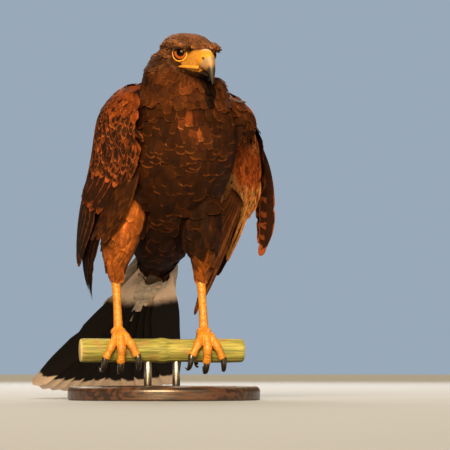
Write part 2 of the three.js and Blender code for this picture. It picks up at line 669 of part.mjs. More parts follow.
// Stand
const BASE_SIDES = 44;
const ROD_RADIUS = 4;
const ROD_PLACES = [-17, 13];
function standBase() {
  const [r, top] = [BASE_RADIUS, BASE_THICK];
  const rim = [[r - 1.5, 0], [r, 1.5], [r, top - 5], [r - 1.4, top - 1.6], [r - 5, top]];
  const profile = [[0, 0], ...rim, [0, top]].map(([x, y]) => new THREE.Vector2(x, y));
  return solid(new THREE.LatheGeometry(profile, BASE_SIDES).rotateX(Math.PI / 2));
}

function rod(x) {
  const low = BASE_THICK + GAP;
  const high = PERCH_AXIS.z;
  const bar = new THREE.CylinderGeometry(ROD_RADIUS, ROD_RADIUS, high - low, 16);
  return solid(bar.rotateX(Math.PI / 2).translate(x, 0, (low + high) / 2)).subtract(perchBody(GROW));
}

// The whole bird on its stand
const hawk = new THREE.Group();
const add = (name, body, material) => hawk.add(meshOf(name, body, material));

const bill = billParts();
const trunk = fuse([torsoBody(), neckBody()]);
const torsoGrown = torsoBody(GROW);
const fleshGrown = fuse([torsoGrown, neckBody(GROW), thighBody('right', GROW), thighBody('left', GROW)]);
add('torso', trunk.intersect(below(NECK_FOOT)), PLUMAGE);
add('neck', trunk.intersect(above(NECK_FOOT)).intersect(below(NECK_TOP)), PLUMAGE);
add('head', headBody(), PLUMAGE);
add('cere', bill.cere, YELLOW_SKIN);
add('bill_upper', bill.horn, HORN);
add('bill_lower', bill.lower, HORN);
for (const [side, hand] of SIDES) add(`eye_${side}`, eyeBall(hand), IRIS);

const tailBody = tail().subtract(torsoGrown);
add('tail', tailBody, FLIGHT);
add('wing_right_arm', rightArm().subtract(fleshGrown), RUFOUS);
add('wing_right_hand', rightHand().subtract(fleshGrown).subtract(rightArm(GROW)), FLIGHT);
const leftArmGrown = leftArm(GROW);
add('wing_left_arm', leftArm().subtract(fleshGrown), RUFOUS);
add('wing_left_hand', leftHand().subtract(fleshGrown).subtract(leftArmGrown), FLIGHT);
add('wing_left_outer_primaries', leftFinger().subtract(leftArmGrown), FLIGHT);

for (const [side, hand] of SIDES) {
  const { shank, foot, claws } = leg(side, hand);
  add(`thigh_${side}`, thighBody(side).subtract(torsoGrown), RUFOUS);
  add(`shank_${side}`, shank, YELLOW_SKIN);
  add(`foot_${side}`, foot, YELLOW_SKIN);
  for (const claw of claws) add(claw.name, claw.body, TALON);
}

add('perch', perchBody(), STEM);
add('stand_base', standBase(), STAND);
ROD_PLACES.forEach((x, i) => add(`stand_rod_${i + 1}`, rod(x), ROD));

export default hawk;
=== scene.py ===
"""A life-size Harris's hawk on a short cut stem, dressed feather by feather.

The frame is in metres, +Z up. The bird faces -Y and its left side is +X.
Sizes are written in millimetres and become metres when a mesh is made.
"""
import json
import math

import bmesh
import bpy
import numpy as np
from mathutils import Matrix, Vector
from mathutils.kdtree import KDTree

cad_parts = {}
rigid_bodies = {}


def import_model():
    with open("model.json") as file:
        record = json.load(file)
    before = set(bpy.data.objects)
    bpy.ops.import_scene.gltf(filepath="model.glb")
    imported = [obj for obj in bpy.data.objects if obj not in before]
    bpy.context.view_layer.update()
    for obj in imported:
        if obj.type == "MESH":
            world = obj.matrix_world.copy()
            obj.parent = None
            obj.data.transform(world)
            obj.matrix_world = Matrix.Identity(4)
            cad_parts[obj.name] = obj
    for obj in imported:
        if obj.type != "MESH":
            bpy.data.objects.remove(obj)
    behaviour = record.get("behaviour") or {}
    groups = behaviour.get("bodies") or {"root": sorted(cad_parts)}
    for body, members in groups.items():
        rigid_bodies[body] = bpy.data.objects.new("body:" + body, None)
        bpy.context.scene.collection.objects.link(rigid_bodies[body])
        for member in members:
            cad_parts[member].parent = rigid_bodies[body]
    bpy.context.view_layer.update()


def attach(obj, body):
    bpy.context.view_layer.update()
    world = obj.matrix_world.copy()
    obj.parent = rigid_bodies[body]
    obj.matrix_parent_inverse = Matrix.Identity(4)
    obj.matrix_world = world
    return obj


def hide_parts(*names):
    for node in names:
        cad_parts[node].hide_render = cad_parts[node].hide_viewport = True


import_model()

MM = 0.001
SEED = 11

# Camera and light
VIEW_AZIMUTH = -12.0
VIEW_ELEVATION = -2.8
VIEW_DISTANCE = 3000.0
VIEW_TARGET = (60.9, -18.8, 181.4)
VIEW_WIDTH = 468.0
SENSOR = 36.0

# Stand and perch
PERCH_TOP = 64.0
PERCH_RADIUS = 13.0
PERCH_AXIS = PERCH_TOP - PERCH_RADIUS
BASE_RADIUS = 100.0
BASE_THICK = 14.0
ROD_RADIUS = 4.0
ROD_PLACES = (-17.0, 13.0)

# Body stations: x, y, z, half width, half depth
TORSO = [
    [4, 104, 122, 13, 6], [6, 80, 144, 24, 15], [8, 56, 170, 38, 30], [12, 36, 201, 50, 43],
    [16, 18, 236, 58, 50], [20, 0, 270, 60, 51], [19, -9, 297, 56, 45], [17, -10, 318, 47, 36],
    [16, -9, 334, 35, 28],
]
NECK = [
    [15, -4, 294, 50, 38], [16, -8, 316, 52, 40], [13, -8, 332, 40.5, 37], [15.2, -7, 346, 35, 34],
    [18.5, -8, 360, 27, 30], [19, -10, 370, 17, 19],
]
THIGHS = {
    "right": [[-27, 20, 226, 20, 22], [-36, 10, 198, 25, 28], [-45, 7, 168, 23, 25],
              [-48, 12, 142, 15.5, 17], [-48, 16, 119, 8, 9]],
    "left": [[40, 20, 226, 20, 22], [42, 10, 198, 25, 28], [43, 7, 168, 21, 24],
             [43, 12, 142, 14, 16], [42.5, 16, 119, 8, 9]],
}
LEFT_ARM = [
    [46, 18, 298, 25, 26], [60, 5, 297, 25, 26], [75, -4, 295, 22, 22], [86.5, -4, 289, 16, 15.5],
    [93, 1, 279, 8, 8],
]

# Head, in its own frame: +Y is towards the nape
HEAD_AT = (20.2, -21.5, 356.5)
HEAD_TURN = 20.0
HEAD_NOD = 4.0
# y, z, half width, half height and fullness
SKULL = [
    [35, -2, 4, 4, 1], [31, -1, 13, 13, 1], [24, 0.5, 20, 19, 0.95], [14, 1.3, 25, 22.8, 0.88],
    [2, 1.2, 26.4, 23.4, 0.8], [-8, 0.8, 26, 23, 0.72], [-17, -1, 22.8, 21.4, 0.7],
    [-25, -3.6, 17.2, 17.8, 0.74], [-31, -6.4, 13.4, 13.4, 0.86], [-34.5, -7.5, 10.8, 12, 0.95],
]
# x, y, z and size
BROW = [[16.2, -32, 7.9, 2.9], [19, -22, 11.3, 4.1], [21.2, -9, 12.8, 4.7], [21.4, 11, 9.8, 3.3]]
BROW_WIDE = 1.25
BROW_SHIFT = (0.6, -1.9)
EYE_AT = (15.3, -15.0, 1.6)
EYE_RADIUS = 9.2
LID_ANGLE = math.radians(57)
# The upper bill: y and z of its ridge, y and z of its lower edge, and half width
BILL = [
    [-30, 6.2, -28, -13.8, 10.4], [-36, 6.6, -34, -14.4, 9.8], [-42, 5.4, -38.6, -15.8, 8.6],
    [-46.8, 1.8, -42.2, -17.6, 6.6], [-50.6, -4.6, -45.2, -19.4, 5.1], [-53, -12, -47.6, -21.6, 3.9],
    [-53.5, -19.6, -49.6, -24.4, 2.7], [-53, -26, -51.2, -27.6, 1.5], [-52.4, -30, -52, -30.6, 0.6],
]
# y, z, half width and half height
LOWER_BILL = [
    [-28, -17.2, 8.8, 3], [-34, -17.5, 7.8, 2.8], [-39, -18.7, 5.8, 2.4], [-43, -20.1, 3.4, 1.8],
    [-45, -20.9, 1.6, 1],
]
GAPE_SIZE = (1.5, 1.2)
GAPE_TALL = 1.3
GAPE = [[8.2, -37.5, -13], [13.4, -31, -12.6], [17.6, -25, -12.2], [20.4, -16.5, -12.2]]
CERE_FRONT = -50.2
SEAM_SLOPE = 1.05
NOSTRIL = (7.4, -43.6, -3.8)
GAZE = (0.68, -0.725, 0.087)

# Wing sheets: front edge, bulging middle and back edge, from the shoulder to the tip
RIGHT_EDGES = (
    [[-38, -34, 316], [-44, -36, 282], [-42, -18, 236], [-58, 22, 184], [-66, 78, 132], [-62, 140, 101]],
    [[-52, -16, 322], [-92, -8, 292], [-104, 24, 248], [-114, 60, 204], [-98, 108, 152], [-62, 146, 106]],
    [[-14, 28, 332], [-16, 42, 318], [-20, 66, 276], [-24, 90, 232], [-30, 118, 180], [-54, 148, 112]],
)
LEFT_EDGES = (
    [[84, -8, 306], [102, 10, 272], [109, 40, 226], [99, 78, 172], [86, 114, 126], [72, 150, 92]],
    [[86, 30, 322], [92, 58, 296], [92, 84, 250], [86, 108, 200], [78, 132, 148], [66, 154, 102]],
    [[40, 26, 330], [44, 46, 308], [44, 72, 268], [46, 98, 222], [50, 124, 168], [58, 152, 112]],
)
FINGER = [[101, 8, 270], [112, 30, 247], [123, 58, 210], [127, 80, 180], [125, 98, 154]]

# Long feathers of the right flank, which hang over the outer side of the thigh
FLANK_EDGES = (
    [[-30, -13, 248], [-36, -20, 220], [-46, -20, 190], [-62, -13, 162]],
    [[-38, -8, 250], [-51, -15, 220], [-63, -13, 190], [-73, -8, 160]],
    [[-41, 6, 248], [-51, 6, 220], [-65, 6, 190], [-76, 6, 166]],
)

# Tail
TAIL_ROOT = (5, 86, 140)
TAIL_LENGTH = 224.0
TAIL_SWING = 11.0
TAIL_SPREAD = 19.0
TAIL_SLOPE = 36.2
TAIL_HALF = 16.5

# Legs
ANKLE = {"right": (-48, 17, 126), "left": (42.5, 17, 126)}
FOOT_X = {"right": -48.0, "left": 42.5}
TOES = {
    "inner": (8, 112, 17, 5.0), "middle": (4, 138, 0, 5.2),
    "outer": (8, 122, -17, 4.8), "hind": (-12, -96, 4, 5.4),
}
HANDS = {"left": 1, "right": -1}


def lerp(a, b, t):
    return a + (b - a) * t


def smooth_step(low, high, x):
    t = np.clip((np.asarray(x, float) - low) / (high - low), 0, 1)
    return t * t * (3 - 2 * t)


def unit(v):
    v = np.asarray(v, float)
    return v / np.maximum(np.linalg.norm(v, axis=-1, keepdims=True), 1e-9)


def linear(red, green, blue):
    """A colour given in 0..255 screen values, as the shader's linear values."""
    c = np.array([red, green, blue], float) / 255
    return np.where(c <= 0.04045, c / 12.92, ((c + 0.055) / 1.055) ** 2.4)


class Line:
    """A smooth line through points or plain values, read from 0 to 1."""

    def __init__(self, points, even=False):
        p = np.asarray(points, float)
        p = p[:, None] if p.ndim == 1 else p
        q = np.vstack([2 * p[0] - p[1], p, 2 * p[-1] - p[-2]])
        a, b, c, d = q[:-3], q[1:-2], q[2:-1], q[3:]
        if even:
            start, end = (c - a) / 2, (d - b) / 2
        else:
            u, v, w = (np.linalg.norm(k, axis=1)[:, None] ** 0.5 for k in (b - a, c - b, d - c))
            start = ((b - a) / u - (c - a) / (u + v) + (c - b) / v) * v
            end = ((c - b) / v - (d - b) / (v + w) + (d - c) / w) * v
        self.terms = np.stack([b, start, 3 * (c - b) - 2 * start - end, 2 * (b - c) + start + end])
        self.spans = len(p) - 1

    def _terms_at(self, t):
        x = np.clip(np.asarray(t, float), 0, 1) * self.spans
        i = np.minimum(x.astype(int), self.spans - 1)
        return self.terms[:, i], (x - i)[..., None]

    def __call__(self, t):
        k, w = self._terms_at(t)
        return k[0] + w * (k[1] + w * (k[2] + w * k[3]))

    def way(self, t):
        k, w = self._terms_at(t)
        return unit(k[1] + w * (2 * k[2] + w * 3 * k[3]))

    def length(self):
        p = self(np.linspace(0, 1, 200))
        return float(np.linalg.norm(np.diff(p, axis=0), axis=1).sum())


def round_turn(sides):
    """The angles of a ring's points."""
    return 2 * np.pi * np.arange(sides) / sides


def reading(values):
    """A smooth value along a list of stations."""
    line = Line(values, even=True)
    return lambda t: line(t)[..., 0]


# The head's frame
HEAD = np.array(
    Matrix.Translation(HEAD_AT)
    @ Matrix.Rotation(math.radians(HEAD_TURN), 4, "Z")
    @ Matrix.Rotation(math.radians(HEAD_NOD), 4, "X")
)


def head_point(p):
    return np.asarray(p, float) @ HEAD[:3, :3].T + HEAD[:3, 3]


def head_way(v):
    return np.asarray(v, float) @ HEAD[:3, :3].T


def in_head(p):
    return (np.asarray(p, float) - HEAD[:3, 3]) @ HEAD[:3, :3]


def eye_centre(hand):
    return head_point((hand * EYE_AT[0], EYE_AT[1], EYE_AT[2]))


# Meshes
def new_object(name, verts, faces, finish=None):
    """A piece in the scene from points in millimetres, with its finish if it has one yet."""
    mesh = bpy.data.meshes.new(name)
    mesh.from_pydata((np.asarray(verts, float) * MM).tolist(), [], [list(f) for f in faces])
    mesh.update()
    mesh.shade_smooth()
    if finish:
        mesh.materials.append(finish.material)
    made = bpy.data.objects.new(name, mesh)
    bpy.context.scene.collection.objects.link(made)
    return made


def loft_faces(rings, sides):
    r, s = np.meshgrid(np.arange(rings - 1), np.arange(sides), indexing="ij")
    a = r * sides + s
    b = r * sides + (s + 1) % sides
    return np.stack([a, b, b + sides, a + sides], -1).reshape(-1, 4).tolist()


def loft(rings):
    """Verts and faces of a closed skin through rings of points, each end closed by a fan."""
    rings = np.asarray(rings, float)
    count, sides = rings.shape[:2]
    verts = np.vstack([rings.reshape(-1, 3), rings[0].mean(0)[None], rings[-1].mean(0)[None]])
    faces = loft_faces(count, sides)
    low, high = count * sides, count * sides + 1
    last = (count - 1) * sides
    for s in range(sides):
        t = (s + 1) % sides
        faces.append([low, t, s])
        faces.append([high, last + s, last + t])
    return outward(verts, faces)


def outward(verts, faces):
    """The faces, turned round where the body they close is inside out."""
    volume = 0.0
    for f in faces:
        for i in range(1, len(f) - 1):
            volume += np.dot(verts[f[0]], np.cross(verts[f[i]], verts[f[i + 1]]))
    return verts, faces if volume > 0 else [f[::-1] for f in faces]


def ovals(middle, side, up, half, high, sides, fullness=1.0):
    """Rings of points; fullness 1 gives ellipses, and less than 1 squares their corners."""
    turn = round_turn(sides)
    full = np.broadcast_to(fullness, np.shape(half))[:, None]
    c, s = (np.sign(k) * np.abs(k) ** full for k in (np.cos(turn)[None], np.sin(turn)[None]))
    aside, above = np.asarray(half)[:, None] * c, np.asarray(high)[:, None] * s
    return middle[:, None] + side[:, None] * aside[..., None] + up[:, None] * above[..., None]


def limb(stations, rings, sides, sunk=0.0, across=(1, 0, 0)):
    """A body of oval sections along a bent line, sunk below its outline by the coat's depth."""
    stations = np.asarray(stations, float)
    t = np.linspace(0, 1, rings)
    line = Line(stations[:, :3])
    way = line.way(t)
    across = np.asarray(across, float)
    side = unit(across - way * (way @ across)[:, None])
    up = np.cross(way, side)
    middle = line(t)
    middle[0] += way[0] * sunk
    middle[-1] -= way[-1] * sunk
    wide, deep = reading(stations[:, 3])(t) - sunk, reading(stations[:, 4])(t) - sunk
    return loft(ovals(middle, side, up, np.maximum(wide, 1), np.maximum(deep, 1), sides))


def merged(parts):
    verts, faces, start = [], [], 0
    for v, f in parts:
        verts.append(v)
        faces += [[i + start for i in g] for g in f]
        start += len(v)
    return np.vstack(verts), faces


def mesh_points(mesh):
    """The mesh's points in millimetres."""
    p = np.empty(len(mesh.vertices) * 3, np.float32)
    mesh.vertices.foreach_get("co", p)
    return p.reshape(-1, 3).astype(float) / MM


def edge_ends(mesh):
    ends = np.empty(len(mesh.edges) * 2, np.int32)
    mesh.edges.foreach_get("vertices", ends)
    return ends.reshape(-1, 2).T


def corner_points(mesh):
    """The vertex at each corner of each face."""
    corner = np.empty(len(mesh.loops), np.int32)
    mesh.loops.foreach_get("vertex_index", corner)
    return corner


def set_map(mesh, name, places):
    """A UV map from a place for each vertex."""
    corners = places[corner_points(mesh)].astype(np.float32)
    mesh.uv_layers.new(name=name).uv.foreach_set("vector", corners.ravel())


def tree_of(points):
    tree = KDTree(len(points))
    for i, q in enumerate(points):
        tree.insert(q, i)
    tree.balance()
    return tree


def spread_value(mesh, name, values):
    layer = mesh.attributes.new(name, "FLOAT", "POINT")
    layer.data.foreach_set("value", np.asarray(values, np.float32))


def paint_points(mesh, name, colours):
    layer = mesh.attributes.new(name, "FLOAT_COLOR", "POINT")
    rgba = np.ones((len(mesh.vertices), 4), np.float32)
    rgba[:, :3] = colours
    layer.data.foreach_set("color", rgba.ravel())


# Wing sheets
class Sheet:
    """A curved wing surface: s runs from the shoulder to the tip, v from the front edge to the back."""

    def __init__(self, edges, facing):
        self.front, self.middle, self.back = (Line(e) for e in edges)
        self.facing = facing
        self.length = self.middle.length()

    def at(self, s, v):
        v = np.asarray(v, float)[..., None]
        return (self.front(s) * (1 - v) ** 2 + self.middle(s) * 2 * v * (1 - v) + self.back(s) * v * v)

    def frame(self, s, v):
        step = 0.01
        inner = np.minimum(s, 1 - step)
        down = (self.at(inner + step, v) - self.at(inner, v)) / step
        over = (self.at(inner, v + step) - self.at(inner, v - step)) / (2 * step)
        normal = unit(np.cross(down, over)) * self.facing
        return self.at(s, v), normal, over


RIGHT_SHEET = Sheet(RIGHT_EDGES, -1)
LEFT_SHEET = Sheet(LEFT_EDGES, 1)
# How far down the wing its pad reaches, and the pad's height on the outer and the inner face
PAD_REACH = 0.46
RIGHT_OUT, RIGHT_IN = 4.4, 6.5
LEFT_OUT, LEFT_IN = 3.8, 3.2


def pad_rise(s, v, high):
    """Height of the wing's fleshy pad over its sheet."""
    t = np.clip(np.asarray(s, float) / PAD_REACH, 0, 1)
    swell = np.sqrt(np.maximum(0, 1 - (2 * t - 0.8) ** 2 / 1.5)) + 0.05
    round_over = 0.12 + np.sin(np.pi * lerp(0.06, 0.94, np.clip(v, 0, 1)))
    return high * round_over * swell * (1 - smooth_step(PAD_REACH, PAD_REACH + 0.2, s))


def wing_pad(sheet, out, inward):
    """A closed cushion on both faces of a wing's sheet."""
    rows, columns = 22, 18
    s = np.linspace(0.015, PAD_REACH, rows)[:, None] + np.zeros((1, columns))
    v = np.linspace(0.04, 0.96, columns)[None, :] + np.zeros((rows, 1))
    point, normal, _ = sheet.frame(s, v)
    top = point + normal * pad_rise(s, v, out)[..., None]
    low = point - normal * pad_rise(s, v, inward)[..., None]
    verts = np.vstack([top.reshape(-1, 3), low.reshape(-1, 3)])
    faces = []
    under = rows * columns
    for i in range(rows - 1):
        for j in range(columns - 1):
            a = i * columns + j
            faces.append([a, a + 1, a + columns + 1, a + columns])
            faces.append([under + a, under + a + columns, under + a + columns + 1, under + a + 1])
    rim = list(range(columns))
    rim += [i * columns + columns - 1 for i in range(1, rows)]
    rim += [(rows - 1) * columns + j for j in range(columns - 2, -1, -1)]
    rim += [i * columns for i in range(rows - 2, 0, -1)]
    for a, b in zip(rim, rim[1:] + rim[:1]):
        faces.append([a, under + a, under + b, b])
    return outward(verts, faces)


# The skin: one closed surface inside the coat
COAT = {"torso": 4.6, "neck": 3.4, "head": 1.4, "thigh": 4.4, "arm": 3.4}
SKULL_RINGS = 40
BROW_RINGS = 18
BROW_LINE = np.array([[b[0] + BROW_SHIFT[0], b[1], b[2] + BROW_SHIFT[1]] for b in BROW])
SKIN_VOXEL = 1.3
EYE_ROOM = 7.0
SOCKET_TOP = 4.4


def skull_parts(sunk):
    t = np.linspace(0, 1, SKULL_RINGS)
    y, z, half, high, fullness = (reading([s[k] for s in SKULL])(t) for k in range(5))
    middle = head_point(np.stack([0 * y, y, z], 1))
    side, up = (np.tile(head_way(way), (SKULL_RINGS, 1)) for way in ((1, 0, 0), (0, 0, 1)))
    bare = smooth_step(-20, -30, y)
    depth = sunk * (1 - bare)
    half, high = np.maximum(half - depth, 1), np.maximum(high - depth, 1)
    parts = [loft(ovals(middle, side, up, half, high, SKULL_RINGS, fullness))]
    k = np.linspace(0, 1, BROW_RINGS)
    size = reading([b[3] for b in BROW])(k)
    for hand in HANDS.values():
        spine = Line(head_point(BROW_LINE * [hand, 1, 1]))
        way = spine.way(k)
        across = unit(side[:BROW_RINGS] - way * (way @ side[0])[:, None])
        rings = ovals(spine(k), across, np.cross(way, across), size * BROW_WIDE - 0.3, size - 0.2, 16)
        parts.append(loft(rings))
    return parts


def skin_object():
    parts = [
        limb(TORSO, 60, 64, COAT["torso"]),
        limb(NECK, 40, 60, COAT["neck"]),
        limb(THIGHS["right"], 36, 36, COAT["thigh"]),
        limb(THIGHS["left"], 36, 36, COAT["thigh"]),
        limb(LEFT_ARM, 30, 36, COAT["arm"], (0, 0.2, 1)),
        wing_pad(RIGHT_SHEET, RIGHT_OUT, RIGHT_IN),
        wing_pad(LEFT_SHEET, LEFT_OUT, LEFT_IN),
        *skull_parts(COAT["head"]),
    ]
    made = fused("skin", parts, SKIN_VOXEL, 0.5, 4)
    press_sockets(made)
    return made


def lid_way(hand):
    return unit(head_way((hand * 0.86, -0.52, -0.02)))


def press_sockets(skin):
    """The skin is pressed in behind the balls of the eyes and drawn down to their lids."""
    p = mesh_points(skin.data)
    for hand in HANDS.values():
        away = p - eye_centre(hand)
        far = np.maximum(np.linalg.norm(away, axis=1), 1e-6)
        angle = np.arccos(np.clip(away @ lid_way(hand) / far, -1, 1))
        rise = lerp(EYE_RADIUS + 0.2, far, smooth_step(LID_ANGLE + 0.05, LID_ANGLE + 0.42, angle))
        wanted = np.where(angle < LID_ANGLE, EYE_RADIUS - 0.9, rise)
        above = away @ head_way((0, 0, 1))
        pressed = (far > wanted) & (far < EYE_RADIUS + EYE_ROOM) & (above < SOCKET_TOP)
        p[pressed] += (away / far[:, None] * (wanted - far)[:, None])[pressed]
    skin.data.vertices.foreach_set("co", (p * MM).astype(np.float32).ravel())
    skin.data.update()


def settled(name, host):
    """The host's evaluated mesh as a plain piece; the host goes."""
    graph = bpy.context.evaluated_depsgraph_get()
    mesh = bpy.data.meshes.new_from_object(
        host.evaluated_get(graph), preserve_all_data_layers=True, depsgraph=graph
    )
    old = host.data
    bpy.data.objects.remove(host)
    bpy.data.meshes.remove(old)
    mesh.name = name
    made = bpy.data.objects.new(name, mesh)
    bpy.context.scene.collection.objects.link(made)
    return made


def fused(name, parts, voxel, factor, rounds):
    """Overlapping closed parts made into one skin of even quads, and eased."""
    host = new_object(f"{name}_host", *merged(parts))
    remesh = host.modifiers.new("one skin", "REMESH")
    remesh.mode = "VOXEL"
    remesh.voxel_size = voxel * MM
    ease = host.modifiers.new("ease", "SMOOTH")
    ease.factor = factor
    ease.iterations = rounds
    return settled(name, host)


# Where each part lies on the skin, and what its feathers are like.
# Feather sizes are long, wide and apart, at each of the part's stations.
TORSO_FEATHERS = [
    [18, 10, 6], [30, 15, 8.4], [36, 18, 9.5], [34, 19, 9.5], [31, 19, 9], [28, 18, 8.6],
    [24, 14, 7], [19, 10, 5.2], [15, 8, 4.2],
]
NECK_FEATHERS = [
    [24, 13, 6.4], [19, 9, 5], [14, 6, 3.9], [11, 4.6, 3.2], [9, 3.8, 2.8], [7.5, 3.4, 2.4],
]
THIGH_FEATHERS = [[30, 13, 7.5], [32, 12, 7], [31, 11, 6.4], [26, 9, 5.4], [15, 5.5, 3.6]]
ARM_FEATHERS = [[24, 12, 6.4], [22, 11, 6], [18, 9, 5.2], [14, 7.5, 4.4], [11, 6, 3.6]]
HEAD_FEATHERS = {"face": (3.6, 1.9, 1.5), "crown": (6.4, 2.9, 2.0), "nape": (10, 4.4, 2.9)}


class Part:
    """A stretch of the body: which points belong to it, and how its feathers lie."""

    def __init__(self, stations, feathers, flow):
        stations = np.asarray(stations, float)
        t = np.linspace(0, 1, 120)
        line = Line(stations[:, :3])
        self.points, self.ways = line(t), line.way(t) * flow
        self.reach = reading(stations[:, 3:].mean(1))(t)
        self.feathers = [reading([f[k] for f in feathers])(t) for k in range(3)]

    def read(self, p):
        """For each point: how far off the part's surface it is, its way, and its feather sizes."""
        gap = np.linalg.norm(p[:, None] - self.points[None], axis=2)
        nearest = gap.argmin(1)
        off = np.abs(gap[np.arange(len(p)), nearest] - self.reach[nearest])
        sizes = np.stack([f[nearest] for f in self.feathers], 1)
        return off, self.ways[nearest], sizes


def read_head(p):
    """How far off the head's surface each point is, its lie, and its feather sizes."""
    h = in_head(p)
    centre = np.clip(h[:, 1], -34, 24)
    places, heights, halves, _, _ = np.transpose(SKULL[::-1])
    radius, middle = np.interp(centre, places, halves), np.interp(centre, places, heights)
    off = np.abs(np.hypot(np.hypot(h[:, 0], h[:, 2] - middle), h[:, 1] - centre) - radius)
    base = np.array([0, -34, -7.0])
    way = head_way(unit(h - base))
    nape = smooth_step(-26, 22, h[:, 1])
    sizes = np.empty((len(p), 3))
    for k in range(3):
        face, crown, back = (HEAD_FEATHERS[n][k] for n in ("face", "crown", "nape"))
        sizes[:, k] = np.interp(nape, [0, 0.45, 1], [face, crown, back])
    chin = smooth_step(-8, -22, h[:, 2])
    sizes *= (1 + 0.5 * chin)[:, None]
    return off, way, sizes


PARTS = {
    "torso": Part(TORSO, TORSO_FEATHERS, -1),
    "neck": Part(NECK, NECK_FEATHERS, -1),
    "thigh_right": Part(THIGHS["right"], THIGH_FEATHERS, 1),
    "thigh_left": Part(THIGHS["left"], THIGH_FEATHERS, 1),
    "arm": Part(LEFT_ARM, ARM_FEATHERS, 1),
}
# The parts' numbers, in the order of PARTS, with the head and the wings after them
TRUNK, NAPE, RIGHT_THIGH, LEFT_THIGH, ARM, FACE, RIGHT_WING, LEFT_WING = range(8)
THIGH_PARTS = [RIGHT_THIGH, LEFT_THIGH]
WING_PARTS = [RIGHT_WING, LEFT_WING]
ARM_LEAN = np.array([0, 0.1, -0.9])
NECK_TOP = (20, -14, 340)
NECK_TILT = unit((0.05, -0.42, 0.9))
SKIN_REACH = 7.5
SHARE_WIDTH = 2.5


def near_sheet(p, sheet):
    """Distance of each point from a wing's sheet, and the sheet's down way there."""
    s, v = np.meshgrid(np.linspace(0, PAD_REACH, 30), np.linspace(0, 1, 30), indexing="ij")
    grid = sheet.at(s, v).reshape(-1, 3)
    ways = unit(sheet.at(s + 0.01, v) - sheet.at(s, v)).reshape(-1, 3)
    tree = tree_of(grid)
    found = [tree.find(q) for q in p]
    return np.array([f[2] for f in found]), ways[[f[1] for f in found]]


def evened(values, a, b, rounds):
    """Each vertex's value made the mean of its neighbours' values, again and again."""
    count = len(values)
    links = np.bincount(a, minlength=count) + np.bincount(b, minlength=count)
    for _ in range(rounds):
        values = (np.bincount(a, values[b], count) + np.bincount(b, values[a], count)) / links
    return values


def skin_fields(skin):
    """Part, lie, sizes, normal and point of every vertex of the skin."""
    mesh = skin.data
    count = len(mesh.vertices)
    p = mesh_points(mesh)
    n = np.empty(count * 3, np.float32)
    mesh.vertices.foreach_get("normal", n)
    n = n.reshape(-1, 3).astype(float)
    offs, ways, sizes = [], [], []
    for name, part in PARTS.items():
        off, way, size = part.read(p)
        if name == "arm":
            way = way * 0.45 + ARM_LEAN
        offs.append(off)
        ways.append(way)
        sizes.append(size)
    off, way, size = read_head(p)
    neck_top = p @ NECK_TILT - np.array(NECK_TOP) @ NECK_TILT
    offs[NAPE] = offs[NAPE] + np.clip(neck_top, 0, 30)
    offs.append(off + np.clip(-neck_top * 1.5, 0, 60))
    ways.append(way)
    sizes.append(size)
    for sheet in (RIGHT_SHEET, LEFT_SHEET):
        far, way = near_sheet(p, sheet)
        offs.append(np.maximum(far - SKIN_REACH, 0) * 1.4)
        ways.append(way)
        sizes.append(np.tile([18.0, 11.0, 6.0], (count, 1)))
    offs = np.stack(offs, 1)
    share = 1 / (1 + (offs / SHARE_WIDTH) ** 2) ** 2
    share /= share.sum(1, keepdims=True)
    lie = sum(share[:, [k]] * ways[k] for k in range(len(ways)))
    size = sum(share[:, [k]] * sizes[k] for k in range(len(sizes)))
    a, b = edge_ends(mesh)
    field = np.stack([evened(column, a, b, 40) for column in np.hstack([lie, size]).T], 1)
    lie = field[:, :3] - n * (field[:, :3] * n).sum(1, keepdims=True)
    part = offs.argmin(1)
    ends = np.zeros(count, bool)
    for k, name in enumerate(PARTS):
        facing = (n * PARTS[name].read(p)[1]).sum(1)
        if k in THIGH_PARTS:
            ends |= (part == k) & ((facing > 0.6) | (facing < -0.85))
        if k == ARM:
            ends |= (part == k) & (facing > 0.7)
    return {"p": p, "n": n, "lie": unit(lie), "size": field[:, 3:], "part": part, "ends": ends}


def near_line(p, line, width):
    """How near each point is to a line: 1 on it, fading over a width."""
    far = np.full(len(p), 1e9)
    for spot in line(np.linspace(0, 1, 60)):
        far = np.minimum(far, np.linalg.norm(p - spot, axis=1))
    return np.exp(-(far / width) ** 2)


# The lores' edges on the head: distance ahead of its middle, and height there
LORE_TOP = ([17, 24, 31, 36], [-1.0, 2.2, 5.0, 8.2])
LORE_FOOT = ([14, 18, 24, 31], [-11.5, -12.8, -15.2, -17.0])
LORE_BACK = 18.5
BROW_REACH = 5.0


def is_bare(p):
    """Share of bare skin on the face at each point: the lores and the rim of the eyes."""
    h = in_head(p)
    y, z = h[:, 1], h[:, 2]
    inside = np.minimum(np.interp(-y, *LORE_TOP) - z, z - np.interp(-y, *LORE_FOOT))
    inside = np.minimum(inside, (-y - LORE_BACK) * 1.2)
    lores = smooth_step(-0.8, 0.8, inside)
    rim = np.zeros(len(p))
    for hand in HANDS.values():
        far = np.linalg.norm(p - eye_centre(hand), axis=1)
        rim = np.maximum(rim, smooth_step(EYE_RADIUS + 1.6, EYE_RADIUS + 0.6, far))
    near_bill = smooth_step(-30.5, -32, y) * smooth_step(5.5, 3.5, z) * smooth_step(-17.5, -15.5, z)
    on_face = smooth_step(-23, -21, z) * smooth_step(30, 26, np.abs(h[:, 0]))
    brow = Line(BROW_LINE)
    near_brow = near_line(h * [-1, 1, 1], brow, BROW_REACH) + near_line(h, brow, BROW_REACH)
    on_face = on_face * smooth_step(0.66, 0.5, near_brow)
    return np.maximum(np.maximum(lores, rim), near_bill) * on_face


